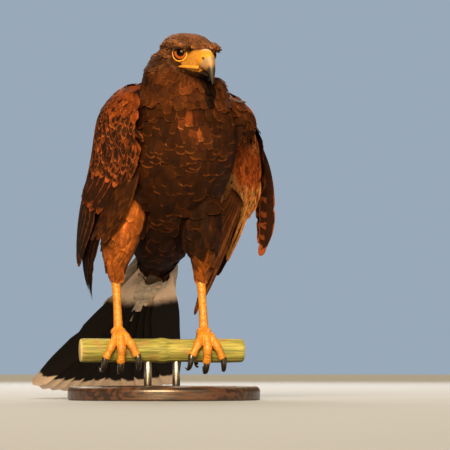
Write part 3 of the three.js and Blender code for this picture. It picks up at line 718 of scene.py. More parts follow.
# Colours
BROWN = linear(72, 37, 14)
BROWN_EDGE = linear(93, 49, 19)
BREAST = linear(42, 19, 3)
BREAST_EDGE = linear(86, 46, 14)
BELLY = linear(28, 12, 3)
HEAD_TONE = linear(72, 44, 28)
HEAD_EDGE = linear(170, 116, 76)
RUFOUS = linear(118, 56, 22)
RUFOUS_EDGE = linear(160, 84, 38)
THIGH = linear(128, 70, 26)
FLIGHT = linear(26, 15, 7)
FLIGHT_EDGE = linear(86, 42, 18)
COVERT_DARK = linear(40, 20, 9)
BUFF = linear(194, 138, 84)
WHITE = linear(200, 184, 166)
SOOT = linear(22, 16, 12)
LORE = linear(148, 104, 42)
CERE = linear(188, 132, 34)


def mixed(a, b, share):
    share = np.asarray(share, float)[..., None]
    return np.asarray(a) * (1 - share) + np.asarray(b) * share


# Painted shadow in the fold behind the cheek, and painted shadow in the hollow under the bill: heights,
# middles from side to side
CHEEK_FOLD_SHADOW = Line([[-28, -4, 338], [-24, -25, 328], [-17, -37, 322], [-8, -44, 320], [0, -48, 324]])
CHEEK_FOLD_SHADOW_WIDTH = 6.5
THROAT_SHADOW = ([295, 307, 320, 332], [38, 40, 42, 38])
THROAT_SHADOW_WIDTHS = (4, 11)
THROAT_SHADOW_STRENGTH = 0.93
# The pale tuft on the breast, and the rufous streaks over the belly: middle, width and height
TUFT = (22, 276, 9, 13)
BELLY_STREAKS = ((14, 7, 20), (52, 9, 18))
STREAK_MIDDLE = 186
# Heights at which the thighs turn from dark to warm
THIGH_TOPS = (216, 158)


def two_tones(tones, ground, edging, share, edge_share):
    """The ground and edge colours, each mixed with a new one by its own share."""
    return mixed(tones[0], ground, share), mixed(tones[1], edging, edge_share)


def painted_fold_shadows(p, h, brow_y):
    """Share of painted shadow at each point: in the fold behind the cheek, along the line under the brow over
    the eye and in the hollow under the bill.
    """
    x, y, z = p.T
    # a painted shadow line under the brow, over the eye
    brow_shadow_line = np.exp(-((h[:, 2] - 5.6) / 1.5) ** 2) * brow_y
    dark = np.maximum(near_line(p, CHEEK_FOLD_SHADOW, CHEEK_FOLD_SHADOW_WIDTH), brow_shadow_line * 0.85)
    # painted shadow in the hollow under the bill, wider towards the chin
    wide = lerp(*THROAT_SHADOW_WIDTHS, smooth_step(296, 334, z))
    hollow = np.exp(-((x - np.interp(z, *THROAT_SHADOW)) / wide) ** 4)
    hollow = hollow * smooth_step(290, 300, z) * smooth_step(340, 335, z) * smooth_step(5, -5, y)
    return np.maximum(dark, hollow * THROAT_SHADOW_STRENGTH)[:, None]


def plumage(p, part, rng=None):
    """The ground and edge colours of the coat at each point, darkened by painted shadows in the folds of the
    head and throat, with each feather's own small change.
    """
    count = len(p)
    x, y, z = p.T
    h = in_head(p)
    front = smooth_step(20, -20, y)
    tones = np.tile(BREAST, (count, 1)), np.tile(BREAST_EDGE, (count, 1))
    belly = smooth_step(236, 192, z) * smooth_step(60, 30, y)
    tones = two_tones(tones, BELLY, BREAST, belly, belly * 0.7)
    back = 1 - front
    tones = two_tones(tones, BELLY, BROWN, back * 0.5, back * 0.5)
    high = smooth_step(282, 322, z)
    tones = two_tones(tones, BROWN, BROWN_EDGE, high, high)
    on_head = smooth_step(-34, -14, h[:, 2]) * smooth_step(330, 345, z)
    cheek = lerp(0.62, 1, smooth_step(-6, 6, h[:, 2]))[:, None]
    tones = two_tones(tones, HEAD_TONE * cheek, HEAD_EDGE * cheek ** 3, on_head, on_head)
    at, level, wide, tall = TUFT
    tuft = np.exp(-((x - at + (z - level) * 0.5) / wide) ** 2 - ((z - level) / tall) ** 2) * front
    if rng is not None:
        tuft = tuft * rng.choice([0.25, 0.6, 1.1], count)
    tuft = np.clip(tuft, 0, 1)
    tones = two_tones(tones, RUFOUS_EDGE, BUFF, tuft * 0.7, tuft * 0.45)
    for at, wide, tall in BELLY_STREAKS:
        streak = np.exp(-((x - at) / wide) ** 2 - ((z - STREAK_MIDDLE) / tall) ** 2) * front
        if rng is not None:
            streak = streak * (rng.random(count) < 0.55)
        tones = two_tones(tones, RUFOUS, RUFOUS, streak * 0.25, streak * 0.9)
    thigh = np.isin(part, THIGH_PARTS)
    outer = np.where(part == RIGHT_THIGH, smooth_step(-48, -60, x), 0)
    top = np.where(part == RIGHT_THIGH, *THIGH_TOPS)
    warm = thigh * smooth_step(top, top - 26, z) * (1 - 0.7 * outer * smooth_step(150, 170, z))
    tones = two_tones(tones, THIGH, THIGH * 1.6, warm, warm)
    still_dark = thigh * (1 - warm)
    tones = two_tones(tones, BELLY, BREAST, still_dark * 0.8, still_dark * 0.8)
    vent = smooth_step(132, 114, z) * (part == TRUNK) * smooth_step(66, 84, y)
    tones = two_tones(tones, WHITE, WHITE, vent, vent)
    wing = np.isin(part, WING_PARTS)
    tones = two_tones(tones, RUFOUS, RUFOUS_EDGE, wing * 0.9, wing * 0.9)
    brow_y = smooth_step(-35, -31, h[:, 1]) * smooth_step(4, -4, h[:, 1])
    brow_y = brow_y * smooth_step(8, 12, np.abs(h[:, 0]))
    brow_band = np.exp(-((h[:, 2] - 8.8) / 1.3) ** 2) * brow_y * smooth_step(-30, -26, h[:, 1])
    # painted shadows in the cheek fold, under the brow and in the hollow under the bill darken the coat
    dark = painted_fold_shadows(p, h, brow_y)
    ground, edging = (tone * (1 - dark) for tone in tones)
    ground = mixed(ground, HEAD_EDGE, brow_band * 0.6)
    if rng is not None:
        spread = 0.18 + 0.3 * on_head
        ground = ground * np.exp(rng.normal(0, 1, count) * spread)[:, None]
        ground = ground * np.exp(rng.normal(0, 0.03, (count, 3)))
        edging = edging * np.exp(rng.normal(0, 0.3, (count, 1)))
    return ground, edging


# Node helpers
def node(tree, kind, inputs=None, **settings):
    made = tree.nodes.new(kind)
    for key, value in settings.items():
        setattr(made, key, value)
    for key, value in (inputs or {}).items():
        socket = made.inputs[key]
        if isinstance(value, bpy.types.NodeSocket):
            tree.links.new(value, socket)
        else:
            socket.default_value = value
    return made


def math_node(tree, operation, *values):
    return node(tree, "ShaderNodeMath", dict(enumerate(values)), operation=operation).outputs[0]


def vector_node(tree, operation, first, second):
    inputs = {0: first, "Scale" if operation == "SCALE" else 1: second}
    return node(tree, "ShaderNodeVectorMath", inputs, operation=operation).outputs[0]


class Paint:
    """A material whose nodes are made by short calls."""

    def __init__(self, name, roughness=0.6, **surface):
        self.material = bpy.data.materials.new(name)
        self.material.use_nodes = True
        self.tree = self.material.node_tree
        self.shader = self.tree.nodes["Principled BSDF"]
        self.shader.inputs["Roughness"].default_value = roughness
        for key, value in surface.items():
            self.shader.inputs[key.replace("_", " ")].default_value = value

    def node(self, kind, inputs=None, **settings):
        return node(self.tree, kind, inputs, **settings)

    def math(self, operation, *values):
        return math_node(self.tree, operation, *values)

    def place(self, scale=(1, 1, 1)):
        where = self.node("ShaderNodeTexCoord").outputs["Object"]
        return self.node("ShaderNodeMapping", {0: where, "Scale": scale}).outputs[0]

    def noise(self, scale, detail=3.0, vector=None):
        inputs = {"Scale": scale, "Detail": detail, "Vector": vector if vector is not None else self.place()}
        return self.node("ShaderNodeTexNoise", inputs).outputs["Fac"]

    def cells(self, scale):
        return self.node("ShaderNodeTexVoronoi", {"Scale": scale, "Vector": self.place()}).outputs["Distance"]

    def ramp(self, value, low, high, to_low=0.0, to_high=1.0, soft=True):
        kind = "SMOOTHSTEP" if soft else "LINEAR"
        inputs = {"Value": value, "From Min": low, "From Max": high, "To Min": to_low, "To Max": to_high}
        return self.node("ShaderNodeMapRange", inputs, interpolation_type=kind).outputs[0]

    def mix(self, share, a, b):
        made = self.node("ShaderNodeMix", None, data_type="RGBA")
        for key, value in ((0, share), (6, a), (7, b)):
            if isinstance(value, bpy.types.NodeSocket):
                self.tree.links.new(value, made.inputs[key])
            elif key:
                made.inputs[key].default_value = (*value, 1)
            else:
                made.inputs[key].default_value = value
        return made.outputs[2]

    def attribute(self, name, output="Color"):
        return self.node("ShaderNodeAttribute", None, attribute_name=name).outputs[output]

    def colour(self, value):
        self.tree.links.new(value, self.shader.inputs["Base Color"])
        return self

    def rough(self, value):
        self.tree.links.new(value, self.shader.inputs["Roughness"])
        return self

    def bump(self, height, distance, strength=1.0):
        made = self.node("ShaderNodeBump", {"Height": height, "Strength": strength, "Distance": distance})
        self.tree.links.new(made.outputs[0], self.shader.inputs["Normal"])
        return self


def times(paint, colour, value):
    """A colour made lighter or darker by a value round 1."""
    return paint.node("ShaderNodeVectorMath", {0: colour, "Scale": value}, operation="SCALE").outputs[0]


def vane_place(paint):
    """How far across and how far down a feather a point lies."""
    uv = paint.node("ShaderNodeUVMap", None, uv_map="Vane").outputs[0]
    return tuple(paint.node("ShaderNodeSeparateXYZ", {0: uv}).outputs)[:2]


def feather_paint(name, barbs=34.0, slant=9.0, edge_from=0.62, tip_from=0.86, shaft=0.05):
    """Plumage: barbs slanting from the shaft, and an edge of its own colour."""
    paint = Paint(name, 0.62, Specular_IOR_Level=0.08)
    aside, down = vane_place(paint)
    across = paint.math("ABSOLUTE", paint.math("MULTIPLY_ADD", aside, 2.0, -1.0))
    grain = paint.noise(900.0, 2.0)
    blotch = paint.noise(120.0)
    wave = paint.math("MULTIPLY", across, slant)
    wave = paint.math("MULTIPLY_ADD", down, barbs, wave)
    wave = paint.math("MULTIPLY_ADD", grain, 2.2, wave)
    barb = paint.math("SINE", paint.math("MULTIPLY", wave, 6.2832))
    wander = paint.math("MULTIPLY_ADD", blotch, 0.4, -0.2)
    side = paint.ramp(paint.math("ADD", across, wander), edge_from, 0.97)
    tip = paint.ramp(paint.math("ADD", down, paint.math("MULTIPLY", wander, 0.6)), tip_from, 0.985)
    edge = paint.math("MAXIMUM", paint.math("MULTIPLY", side, paint.ramp(down, 0.2, 0.6)), tip)
    edge = paint.math("MULTIPLY", edge, paint.ramp(grain, 0.25, 0.7, 0.5, 1.0))
    ground, edging = paint.attribute("ground"), paint.attribute("edging")
    bars, streaks = paint.attribute("bars", "Fac"), paint.attribute("streaks", "Fac")
    bar = paint.math("SINE", paint.math("MULTIPLY_ADD", down, 58.0, paint.math("MULTIPLY", blotch, 9.0)))
    barred = paint.math("MULTIPLY", paint.ramp(bar, 0.0, 0.7), paint.ramp(aside, 0.56, 0.4))
    barred = paint.math("MULTIPLY", paint.math("MULTIPLY", barred, bars), paint.ramp(down, 0.3, 0.5))
    places = paint.node("ShaderNodeCombineXYZ", {
        0: paint.math("MULTIPLY", aside, 6.0), 1: paint.math("MULTIPLY", down, 2.2),
        2: paint.math("MULTIPLY", streaks, 60.0),
    }).outputs[0]
    streaked = paint.ramp(paint.noise(1.0, 3.0, places), 0.42, 0.6)
    streaked = paint.math("MULTIPLY", streaked, paint.ramp(streaks, 0.0, 0.5, soft=False))
    edge = paint.math("MAXIMUM", edge, paint.math("MAXIMUM", barred, streaked))
    base = paint.mix(edge, ground, edging)
    spine = paint.ramp(across, shaft, shaft * 0.3)
    shade = paint.math("MULTIPLY_ADD", barb, 0.2, 1.0)
    shade = paint.math("MULTIPLY", shade, paint.ramp(blotch, 0.3, 0.7, 0.78, 1.2))
    shade = paint.math("MULTIPLY", shade, paint.ramp(down, 0.0, 0.55, 0.55, 1.0))
    shade = paint.math("MULTIPLY", shade, paint.ramp(grain, 0.3, 0.7, 0.85, 1.15))
    shade = paint.math("MULTIPLY_ADD", spine, -0.3, shade)
    paint.colour(times(paint, base, shade))
    height = paint.math("ADD", paint.math("MULTIPLY", barb, 0.5), paint.math("MULTIPLY", spine, 1.5))
    return paint.bump(height, 0.00025, 0.7)


# Small body feathers, set by nodes
def vane_faces(rows, columns):
    """Quads of a thin closed vane: an upper and a lower grid that share their rim."""
    top = np.arange(rows * columns).reshape(rows, columns)
    low = top.copy()
    low[1:-1, 1:-1] = rows * columns + np.arange((rows - 2) * (columns - 2)).reshape(rows - 2, columns - 2)
    quads = []
    for i in range(rows - 1):
        for j in range(columns - 1):
            quads.append([top[i, j], top[i, j + 1], top[i + 1, j + 1], top[i + 1, j]])
            quads.append([low[i, j], low[i + 1, j], low[i + 1, j + 1], low[i, j + 1]])
    rim = np.zeros(rows * columns + (rows - 2) * (columns - 2), bool)
    rim[top[0]] = rim[top[-1]] = rim[top[:, 0]] = rim[top[:, -1]] = True
    return np.array(quads), rim


def both_sides(values):
    """A grid of values for a vane's upper points, then for the lower points inside its rim."""
    return np.concatenate([values.ravel(), values[1:-1, 1:-1].ravel()])


def vane_points(upper, lower):
    return np.vstack([upper.reshape(-1, 3), lower[1:-1, 1:-1].reshape(-1, 3)])


def body_vane(name, rows, columns, rng, arc, camber, ragged):
    """One body feather of unit length and half width 1, on +Y, upper side +Z, with a round tip."""
    t = np.linspace(0, 1, rows)[:, None] ** 0.85 + np.zeros((1, columns))
    x = np.sin(np.linspace(-0.5, 0.5, columns) * np.pi)[None, :] + np.zeros((rows, 1))
    notch = rng.normal(0, ragged, (rows, columns)) * smooth_step(0.7, 1, t)
    along = t - arc * (1 - np.sqrt(1 - 0.999 * x * x)) * smooth_step(0.25, 1, t) + notch
    aside = x * lerp(0.5, 1.0, smooth_step(0, 0.5, t))
    high = -camber * x * x
    thick = 0.04 * (1 - x * x) * np.sin(np.pi * np.clip(t, 0.03, 0.97))
    upper = np.stack([aside, along, high + thick], -1)
    lower = np.stack([aside, along, high - thick], -1)
    faces, rim = vane_faces(rows, columns)
    made = new_object(name, vane_points(upper, lower) / MM, faces[:, ::-1])
    finish_vanes(made.data, both_sides(x / 2 + 0.5), both_sides(t), rim)
    return made


def finish_vanes(mesh, across, down, rim):
    """The vane's own UV map, and its rim kept sharp."""
    set_map(mesh, "Vane", np.stack([across, down], 1))
    a, b = edge_ends(mesh)
    sharp = mesh.attributes.new("sharp_edge", "BOOLEAN", "EDGE")
    sharp.data.foreach_set("value", rim[a] & rim[b])


def vane_family(name, rows, columns, rng, count=4, **shape):
    """A few like feathers, kept in a collection that the coat picks from."""
    family = bpy.data.collections.new(name)
    for i in range(count):
        made = body_vane(f"{name}_{i}", rows, columns, rng, **shape)
        bpy.context.scene.collection.objects.unlink(made)
        family.objects.link(made)
    return family


# Size of a feather's own patch on the coat's map
PATCH = 0.003


def coat_tree():
    """Feathers set on root points: each point says its way, its outward side, its size and its bend."""
    tree = bpy.data.node_groups.new("coat of feathers", "GeometryNodeTree")
    face = tree.interface
    face.new_socket("Roots", in_out="INPUT", socket_type="NodeSocketGeometry")
    wanted = {
        "Feathers": "NodeSocketCollection", "Lift": "NodeSocketFloat", "Depth": "NodeSocketFloat",
        "Size": "NodeSocketFloat", "Kinds": "NodeSocketInt", "Seed": "NodeSocketInt",
        "Finish": "NodeSocketMaterial",
    }
    for name, kind in wanted.items():
        face.new_socket(name, in_out="INPUT", socket_type=kind)
    face.new_socket("Coat", in_out="OUTPUT", socket_type="NodeSocketGeometry")
    given = tree.nodes.new("NodeGroupInput").outputs

    def named(name, kind="FLOAT_VECTOR"):
        made = node(tree, "GeometryNodeInputNamedAttribute", {"Name": name}, data_type=kind)
        return made.outputs[0]

    out, lie, size = named("out"), named("lie"), named("size")
    way = vector_node(tree, "ADD", lie, vector_node(tree, "SCALE", out, given["Lift"]))
    turn = node(tree, "FunctionNodeAxesToRotation", {0: way, 1: out}, primary_axis="Y", secondary_axis="Z")
    kinds = math_node(tree, "SUBTRACT", given["Kinds"], 1.0)
    pick = node(tree, "FunctionNodeRandomValue", {"Seed": given["Seed"]}, data_type="INT")
    whole = {end.name: end for end in pick.inputs if end.type == "INT"}
    whole["Min"].default_value = 0
    tree.links.new(kinds, whole["Max"])
    chosen = [end for end in pick.outputs if end.type == "INT"][0]
    shapes = node(tree, "GeometryNodeCollectionInfo", {
        "Collection": given["Feathers"], "Separate Children": True,
    })
    scale = vector_node(tree, "SCALE", size, given["Size"])
    set_on = node(tree, "GeometryNodeInstanceOnPoints", {
        "Points": given["Roots"], "Instance": shapes.outputs[0], "Pick Instance": True,
        "Instance Index": chosen, "Rotation": turn.outputs[0], "Scale": scale,
    })
    real = node(tree, "GeometryNodeRealizeInstances", {0: set_on.outputs[0]})
    uv = node(tree, "ShaderNodeSeparateXYZ", {0: named("Vane")})
    long = node(tree, "ShaderNodeSeparateXYZ", {0: size}).outputs[1]
    down = math_node(tree, "MULTIPLY", uv.outputs[1], long)
    drop = math_node(tree, "MULTIPLY", math_node(tree, "MULTIPLY", down, down), named("bend", "FLOAT"))
    sunk = math_node(tree, "MULTIPLY", given["Depth"], -1.0)
    drop = math_node(tree, "ADD", math_node(tree, "MULTIPLY", drop, -0.5), sunk)
    offset = vector_node(tree, "SCALE", out, drop)
    bent = node(tree, "GeometryNodeSetPosition", {0: real.outputs[0], "Offset": offset})
    spot = vector_node(tree, "SUBTRACT", named("Vane"), (0.5, 0.5, 0.0))
    spot = vector_node(tree, "ADD", vector_node(tree, "SCALE", spot, PATCH), named("place"))
    mapped = node(tree, "GeometryNodeStoreNamedAttribute", {
        "Geometry": bent.outputs[0], "Name": "OFBake",
    }, data_type="FLOAT2", domain="CORNER")
    target = [end for end in mapped.inputs if end.name == "Value" and end.enabled][0]
    tree.links.new(spot, target)
    coloured = node(tree, "GeometryNodeSetMaterial", {
        "Geometry": mapped.outputs[0], "Material": given["Finish"],
    })
    result = tree.nodes.new("NodeGroupOutput")
    tree.links.new(coloured.outputs[0], result.inputs[0])
    return tree


def set_inputs(modifier, tree, values):
    """Each named input is set by its socket's identifier."""
    for item in tree.interface.items_tree:
        if item.item_type == "SOCKET" and item.in_out == "INPUT" and item.name in values:
            modifier[item.identifier] = values[item.name]


def point_cloud(name, roots):
    made = new_object(name, roots["p"], [])
    mesh = made.data
    count = len(roots["p"])
    for key in ("lie", "out", "size", "place"):
        layer = mesh.attributes.new(key, "FLOAT_VECTOR", "POINT")
        layer.data.foreach_set("vector", np.asarray(roots[key], np.float32).reshape(count * 3))
    spread_value(mesh, "bend", roots["bend"])
    paint_points(mesh, "ground", roots["ground"])
    paint_points(mesh, "edging", roots["edging"])
    return made


def coat_piece(name, tree, roots, family, finish, lift, depth=0.0, seed=1):
    host = point_cloud(name + "_roots", roots)
    modifier = host.modifiers.new("coat", "NODES")
    modifier.node_group = tree
    set_inputs(modifier, tree, {
        "Feathers": family, "Lift": lift, "Depth": depth * MM, "Size": 1.0,
        "Kinds": len(family.objects), "Seed": seed, "Finish": finish.material,
    })
    made = settled(name, host)
    for extra in ("lie", "out", "size", "place", "bend"):
        if extra in made.data.attributes:
            made.data.attributes.remove(made.data.attributes[extra])
    return made


def choose_roots(fields, allowed, rng):
    """Vertices far enough apart for their feathers, taken in a random order."""
    p, gap = fields["p"], fields["size"][:, 2]
    tree = tree_of(p)
    free = allowed.copy()
    chosen = []
    for i in rng.permutation(len(p)):
        if not free[i]:
            continue
        chosen.append(i)
        for _, j, _ in tree.find_range(p[i], gap[i]):
            free[j] = False
    return np.array(chosen)


def unwrap(skin):
    """An unwrap of the skin's own shape, flat by flat, for the coat's map."""
    mesh = skin.data
    mesh.uv_layers.new(name="OFBake")
    bpy.context.view_layer.objects.active = skin
    skin.select_set(True)
    bpy.ops.object.mode_set(mode="EDIT")
    bpy.ops.mesh.select_all(action="SELECT")
    bpy.ops.uv.smart_project(angle_limit=math.radians(66), island_margin=0.004)
    bpy.ops.object.mode_set(mode="OBJECT")
    skin.select_set(False)


# How far a feather's tip may stand off the skin, and its greatest half width for thickness
STANDS_OFF = 3.2
THICKEST = 8


def root_set(fields, chosen, skin_map, rng, lift):
    """What each chosen root says; feathers whose tips would stand far off the skin are kept short."""
    p, n, lie, size, bend = (fields[key][chosen] for key in ("p", "n", "lie", "size", "bend"))
    count = len(chosen)
    side = np.cross(n, lie)
    sway = rng.normal(0, 0.1, (count, 1))
    lie = unit(lie + side * sway)
    shake = unit(rng.normal(0, 1, (count, 3)))
    p = p + (shake - n * (shake * n).sum(1, keepdims=True)) * size[:, 2:3] * 0.22
    long = size[:, 0] * np.exp(rng.normal(0, 0.09, count))
    wide = size[:, 1] * np.exp(rng.normal(0, 0.08, count)) / 2
    reach = unit(lie + n * lift) * long[:, None] - n * (0.5 * bend * long ** 2)[:, None]
    stands = np.array([skin_map.tree.find(q)[2] for q in p + reach])
    long = long * np.clip(STANDS_OFF / np.maximum(stands, 0.1), 0.4, 1)
    thick = np.minimum(wide, THICKEST)
    spots = p + lie * long[:, None] * 0.65
    ground, edging = plumage(spots, fields["part"][chosen], rng)
    return {
        "p": p, "out": n, "lie": lie, "size": np.stack([wide, long, thick], 1) * MM,
        "place": np.hstack([skin_map.at[chosen], np.zeros((count, 1))]), "ground": ground,
        "edging": edging, "bend": bend / MM,
    }


SHARPEST_BEND = 0.03


def along_bend(fields, mesh):
    """How fast the skin turns away along the lie, per millimetre, at each vertex."""
    count = len(mesh.vertices)
    a, b = edge_ends(mesh)
    d = fields["p"][b] - fields["p"][a]
    far = np.linalg.norm(d, axis=1)
    turn = ((fields["n"][b] - fields["n"][a]) * d).sum(1) / np.maximum(far, 1e-6) ** 2
    bend = np.zeros(count)
    total = np.zeros(count) + 1e-6
    for i in (a, b):
        share = ((d / far[:, None]) * fields["lie"][i]).sum(1) ** 4
        bend += np.bincount(i, turn * share, count)
        total += np.bincount(i, share, count)
    return np.clip(evened(bend / total, a, b, 30), 0, SHARPEST_BEND)


# Long feathers of the wings and tail, each laid on its sheet
def blade(t, root=0.5, tip=0.36, shoulder=0.9):
    """Half width of a long feather along its length, as a share of its widest."""
    t = np.asarray(t, float)
    narrowing = np.clip(1 - (1 - tip) * smooth_step(shoulder - 0.2, 1.02, t), 0, 1)
    return lerp(root, 1.0, smooth_step(0, 0.4, t)) * np.sqrt(narrowing)


class SkinMap:
    """Where the nearest skin lies on the skin's own unwrap."""

    def __init__(self, skin):
        mesh = skin.data
        self.tree = tree_of(mesh_points(mesh))
        places = np.empty(len(mesh.loops) * 2, np.float32)
        mesh.uv_layers["OFBake"].uv.foreach_get("vector", places)
        self.at = np.zeros((len(mesh.vertices), 2))
        self.at[corner_points(mesh)] = places.reshape(-1, 2)

    def read(self, points):
        return self.at[[self.tree.find(q)[1] for q in points]]


class Feathers:
    """Vanes gathered into one piece."""

    def __init__(self):
        self.verts, self.faces, self.across, self.down, self.rim = [], [], [], [], []
        self.ground, self.edging, self.bars, self.streaks, self.roots = [], [], [], [], []
        self.start = 0

    def add(self, upper, lower, x, t, ground, edging, bars=0.0, streaks=0.0, under=None):
        rows, columns = x.shape
        faces, rim = vane_faces(rows, columns)
        verts = vane_points(upper, lower)
        way = np.cross(upper[1, 1] - upper[1, 0], upper[2, 1] - upper[1, 1])
        if way @ (upper[1, 1] - lower[1, 1]) < 0:
            faces = faces[:, ::-1]
        self.verts.append(verts)
        self.faces.append(faces + self.start)
        self.start += len(verts)
        self.across.append(both_sides(x / 2 + 0.5))
        self.down.append(both_sides(t))
        self.rim.append(rim)
        tones = np.tile(ground, (len(verts), 1))
        if under is not None:
            tones[x.size:] = under
        self.ground.append(tones)
        self.edging.append(np.tile(edging, (len(verts), 1)))
        self.bars.append(np.full(len(verts), float(bars)))
        marks = np.full(len(verts), float(streaks))
        if under is not None:
            marks[:x.size] = 0.0
        self.streaks.append(marks)
        self.roots.append(upper[0].mean(0))

    def piece(self, name, finish, skin_map=None):
        made = new_object(name, np.vstack(self.verts), np.vstack(self.faces))
        mesh = made.data
        across, down = np.concatenate(self.across), np.concatenate(self.down)
        finish_vanes(mesh, across, down, np.concatenate(self.rim))
        paint_points(mesh, "ground", np.vstack(self.ground))
        paint_points(mesh, "edging", np.vstack(self.edging))
        spread_value(mesh, "bars", np.concatenate(self.bars))
        spread_value(mesh, "streaks", np.concatenate(self.streaks))
        mesh.materials.append(finish.material)
        if skin_map is None:
            return made
        spots = skin_map.read(self.roots)
        spots = np.repeat(spots, [len(v) for v in self.verts], axis=0)
        set_map(mesh, "OFBake", spots + (np.stack([across, down], 1) - 0.5) * PATCH)
        return made


def blade_grid(rows, columns, rng, arc, ragged, splits):
    """Places across and along a long feather, with its rounded tip, ragged rim and splits."""
    t = np.linspace(0, 1, rows)[:, None] + np.zeros((1, columns))
    x = np.linspace(-1, 1, columns)[None, :] + np.zeros((rows, 1))
    along = t - arc * x * x * smooth_step(0.6, 1, t)
    along = along + rng.normal(0, ragged, (rows, columns)) * smooth_step(0.8, 1, t)
    rim = np.ones((rows, columns))
    for _ in range(splits):
        row, side = rng.integers(rows // 2, rows - 2), rng.choice([0, columns - 1])
        rim[row, side] = rng.uniform(0.72, 0.9)
    return t, x, along, rim


def sheet_feather(sheet, spec, rng, rows=13, columns=7):
    """The upper and lower faces of one feather on a wing's sheet."""
    arc, splits, pad = spec.get("arc", 0.05), spec.get("splits", 1), spec.get("pad", 0)
    t, x, along, rim = blade_grid(rows, columns, rng, arc, 0.004, splits)
    s, v = lerp(spec["s0"], spec["s1"], along), lerp(spec["v0"], spec["v1"], along)
    off = x * spec["half"] * blade(t, tip=spec.get("tip", 0.3)) * rim
    _, _, over = sheet.frame(s, v)
    v = v + off / np.linalg.norm(over, axis=-1)
    point, normal, _ = sheet.frame(s, v)
    lift = lerp(spec["lift"], spec.get("lift1", spec["lift"]), t) + spec.get("tilt", 0) * off
    lift = lift + np.sign(pad) * pad_rise(s, v, abs(pad))
    thick = 0.34 * (1 - x * x) ** 0.5 * lerp(1, 0.6, t) + 0.02
    high = (lift + thick)[..., None] * normal
    low = (lift - thick)[..., None] * normal
    return point + high, point + low, x, t


def ranged(recipe, k):
    return {key: lerp(v[0], v[1], k) if isinstance(v, tuple) else v for key, v in recipe.items()}


def row_of(feathers, sheet, recipe, rng, ground, edging, rows=13, under=None, **marks):
    """A row of like feathers, side by side; under is the colour of their lower faces."""
    count = recipe["count"]
    for i in range(count):
        k = i / max(count - 1, 1)
        spec = ranged(recipe, k)
        spec["s1"] += spec.get("bow", 0) * 4 * k * (1 - k) + rng.normal(0, spec.get("wander", 0.004))
        spec["v0"] += rng.normal(0, 0.004)
        spec["v1"] += rng.normal(0, 0.006)
        tone = np.exp(rng.normal(0, 0.14))
        if "streaks" in marks:
            marks["streaks"] = rng.uniform(0.5, 1)
        below = None if under is None else under * tone
        parts = sheet_feather(sheet, spec, rng, rows)
        feathers.add(*parts, ground * tone, edging * tone, under=below, **marks)


def small_coverts(feathers, sheet, out, rng, tones, s_range, v_range, sizes, lifts=(-0.6, 1.6)):
    """Short coverts set like shingles over the wing's pad; sizes are long, half width and apart."""
    long, half, apart = sizes
    s_steps = max(2, int((s_range[1] - s_range[0]) * sheet.length / (apart * 0.7)))
    for i in range(s_steps):
        s = lerp(s_range[0], s_range[1], i / (s_steps - 1))
        width = np.linalg.norm(sheet.at(s, 1.0) - sheet.at(s, 0.0)) * 1.25
        count = max(3, int(width * (v_range[1] - v_range[0]) / apart))
        for j in range(count):
            v = lerp(v_range[0], v_range[1], (j + 0.5 * (i % 2) + rng.uniform(-0.25, 0.25)) / count)
            s0 = s + rng.uniform(-0.006, 0.006)
            grow = lerp(0.75, 1.2, i / (s_steps - 1)) * np.exp(rng.normal(0, 0.16))
            way = np.sign(out)
            spec = {
                "s0": s0, "s1": s0 + long * grow / sheet.length, "v0": v, "v1": v + rng.normal(0, 0.024),
                "half": half * grow, "lift": lifts[0] * way, "lift1": lifts[1] * way, "pad": out,
                "tip": 0.3, "arc": 0.2, "splits": 0,
            }
            ground, edging, streaks = tones(s, v)
            tone = np.exp(rng.normal(0, 0.2))
            parts = sheet_feather(sheet, spec, rng, rows=7, columns=5)
            feathers.add(*parts, ground * tone, edging * tone, streaks=streaks)


def tail_way(angle):
    a, slope = math.radians(angle), math.radians(TAIL_SLOPE)
    return np.array([-math.sin(a) * math.cos(slope), math.cos(a) * math.cos(slope), -math.sin(slope)])


TAIL_AHEAD = tail_way(TAIL_SWING)
TAIL_OVER = np.array([math.cos(math.radians(TAIL_SWING)), math.sin(math.radians(TAIL_SWING)), 0])
TAIL_UP = unit(np.cross(TAIL_OVER, TAIL_AHEAD))
TAIL_COUNT = 12


def tail_feather(start, way, across, length, half, rng, layer, droop, sideways, rows=18, columns=9, tip=0.42):
    t, x, along, rim = blade_grid(rows, columns, rng, 0.035, 0.003, 1)
    off = x * half * blade(t, root=0.5, tip=tip, shoulder=0.93) * rim - sideways * np.sin(np.pi * t)
    rise = layer * np.minimum(1, 0.4 + 2 * t) - droop * t - 0.8 * x * x
    thick = 0.36 * (1 - x * x) ** 0.5 + 0.02
    middle = start + way * (along * length)[..., None] + across * off[..., None] + TAIL_UP * rise[..., None]
    return middle + TAIL_UP * thick[..., None], middle - TAIL_UP * thick[..., None], x, t


def tail_piece(finish, rng):
    feathers = Feathers()
    for i in range(TAIL_COUNT):
        k = 2 * i / (TAIL_COUNT - 1) - 1
        turn = math.radians(k * TAIL_SPREAD)
        way = TAIL_AHEAD * math.cos(turn) + TAIL_OVER * math.sin(turn)
        across = TAIL_OVER * math.cos(turn) - TAIL_AHEAD * math.sin(turn)
        layer = -1.5 * abs(i - (TAIL_COUNT - 1) / 2 - 0.2)
        start = np.array(TAIL_ROOT) + across * k * 12
        length = TAIL_LENGTH * lerp(1, 0.95, k * k) * (1 + rng.normal(0, 0.006))
        parts = tail_feather(start, way, across, length, TAIL_HALF - 0.6, rng, layer, 4 * k * k, 3 * k)
        feathers.add(*parts, SOOT, WHITE)
    return feathers.piece("tail_feathers", finish)


# Rows of white coverts above (1) and below (-1) the tail's root: how far back, length, half width, count
TAIL_COVERTS = {
    1: ((0, 46, 9, 6), (7, 60, 11, 7), (15, 72, 12, 8)),
    -1: ((0, 50, 9, 6), (8, 66, 11, 7), (16, 84, 12, 7)),
}


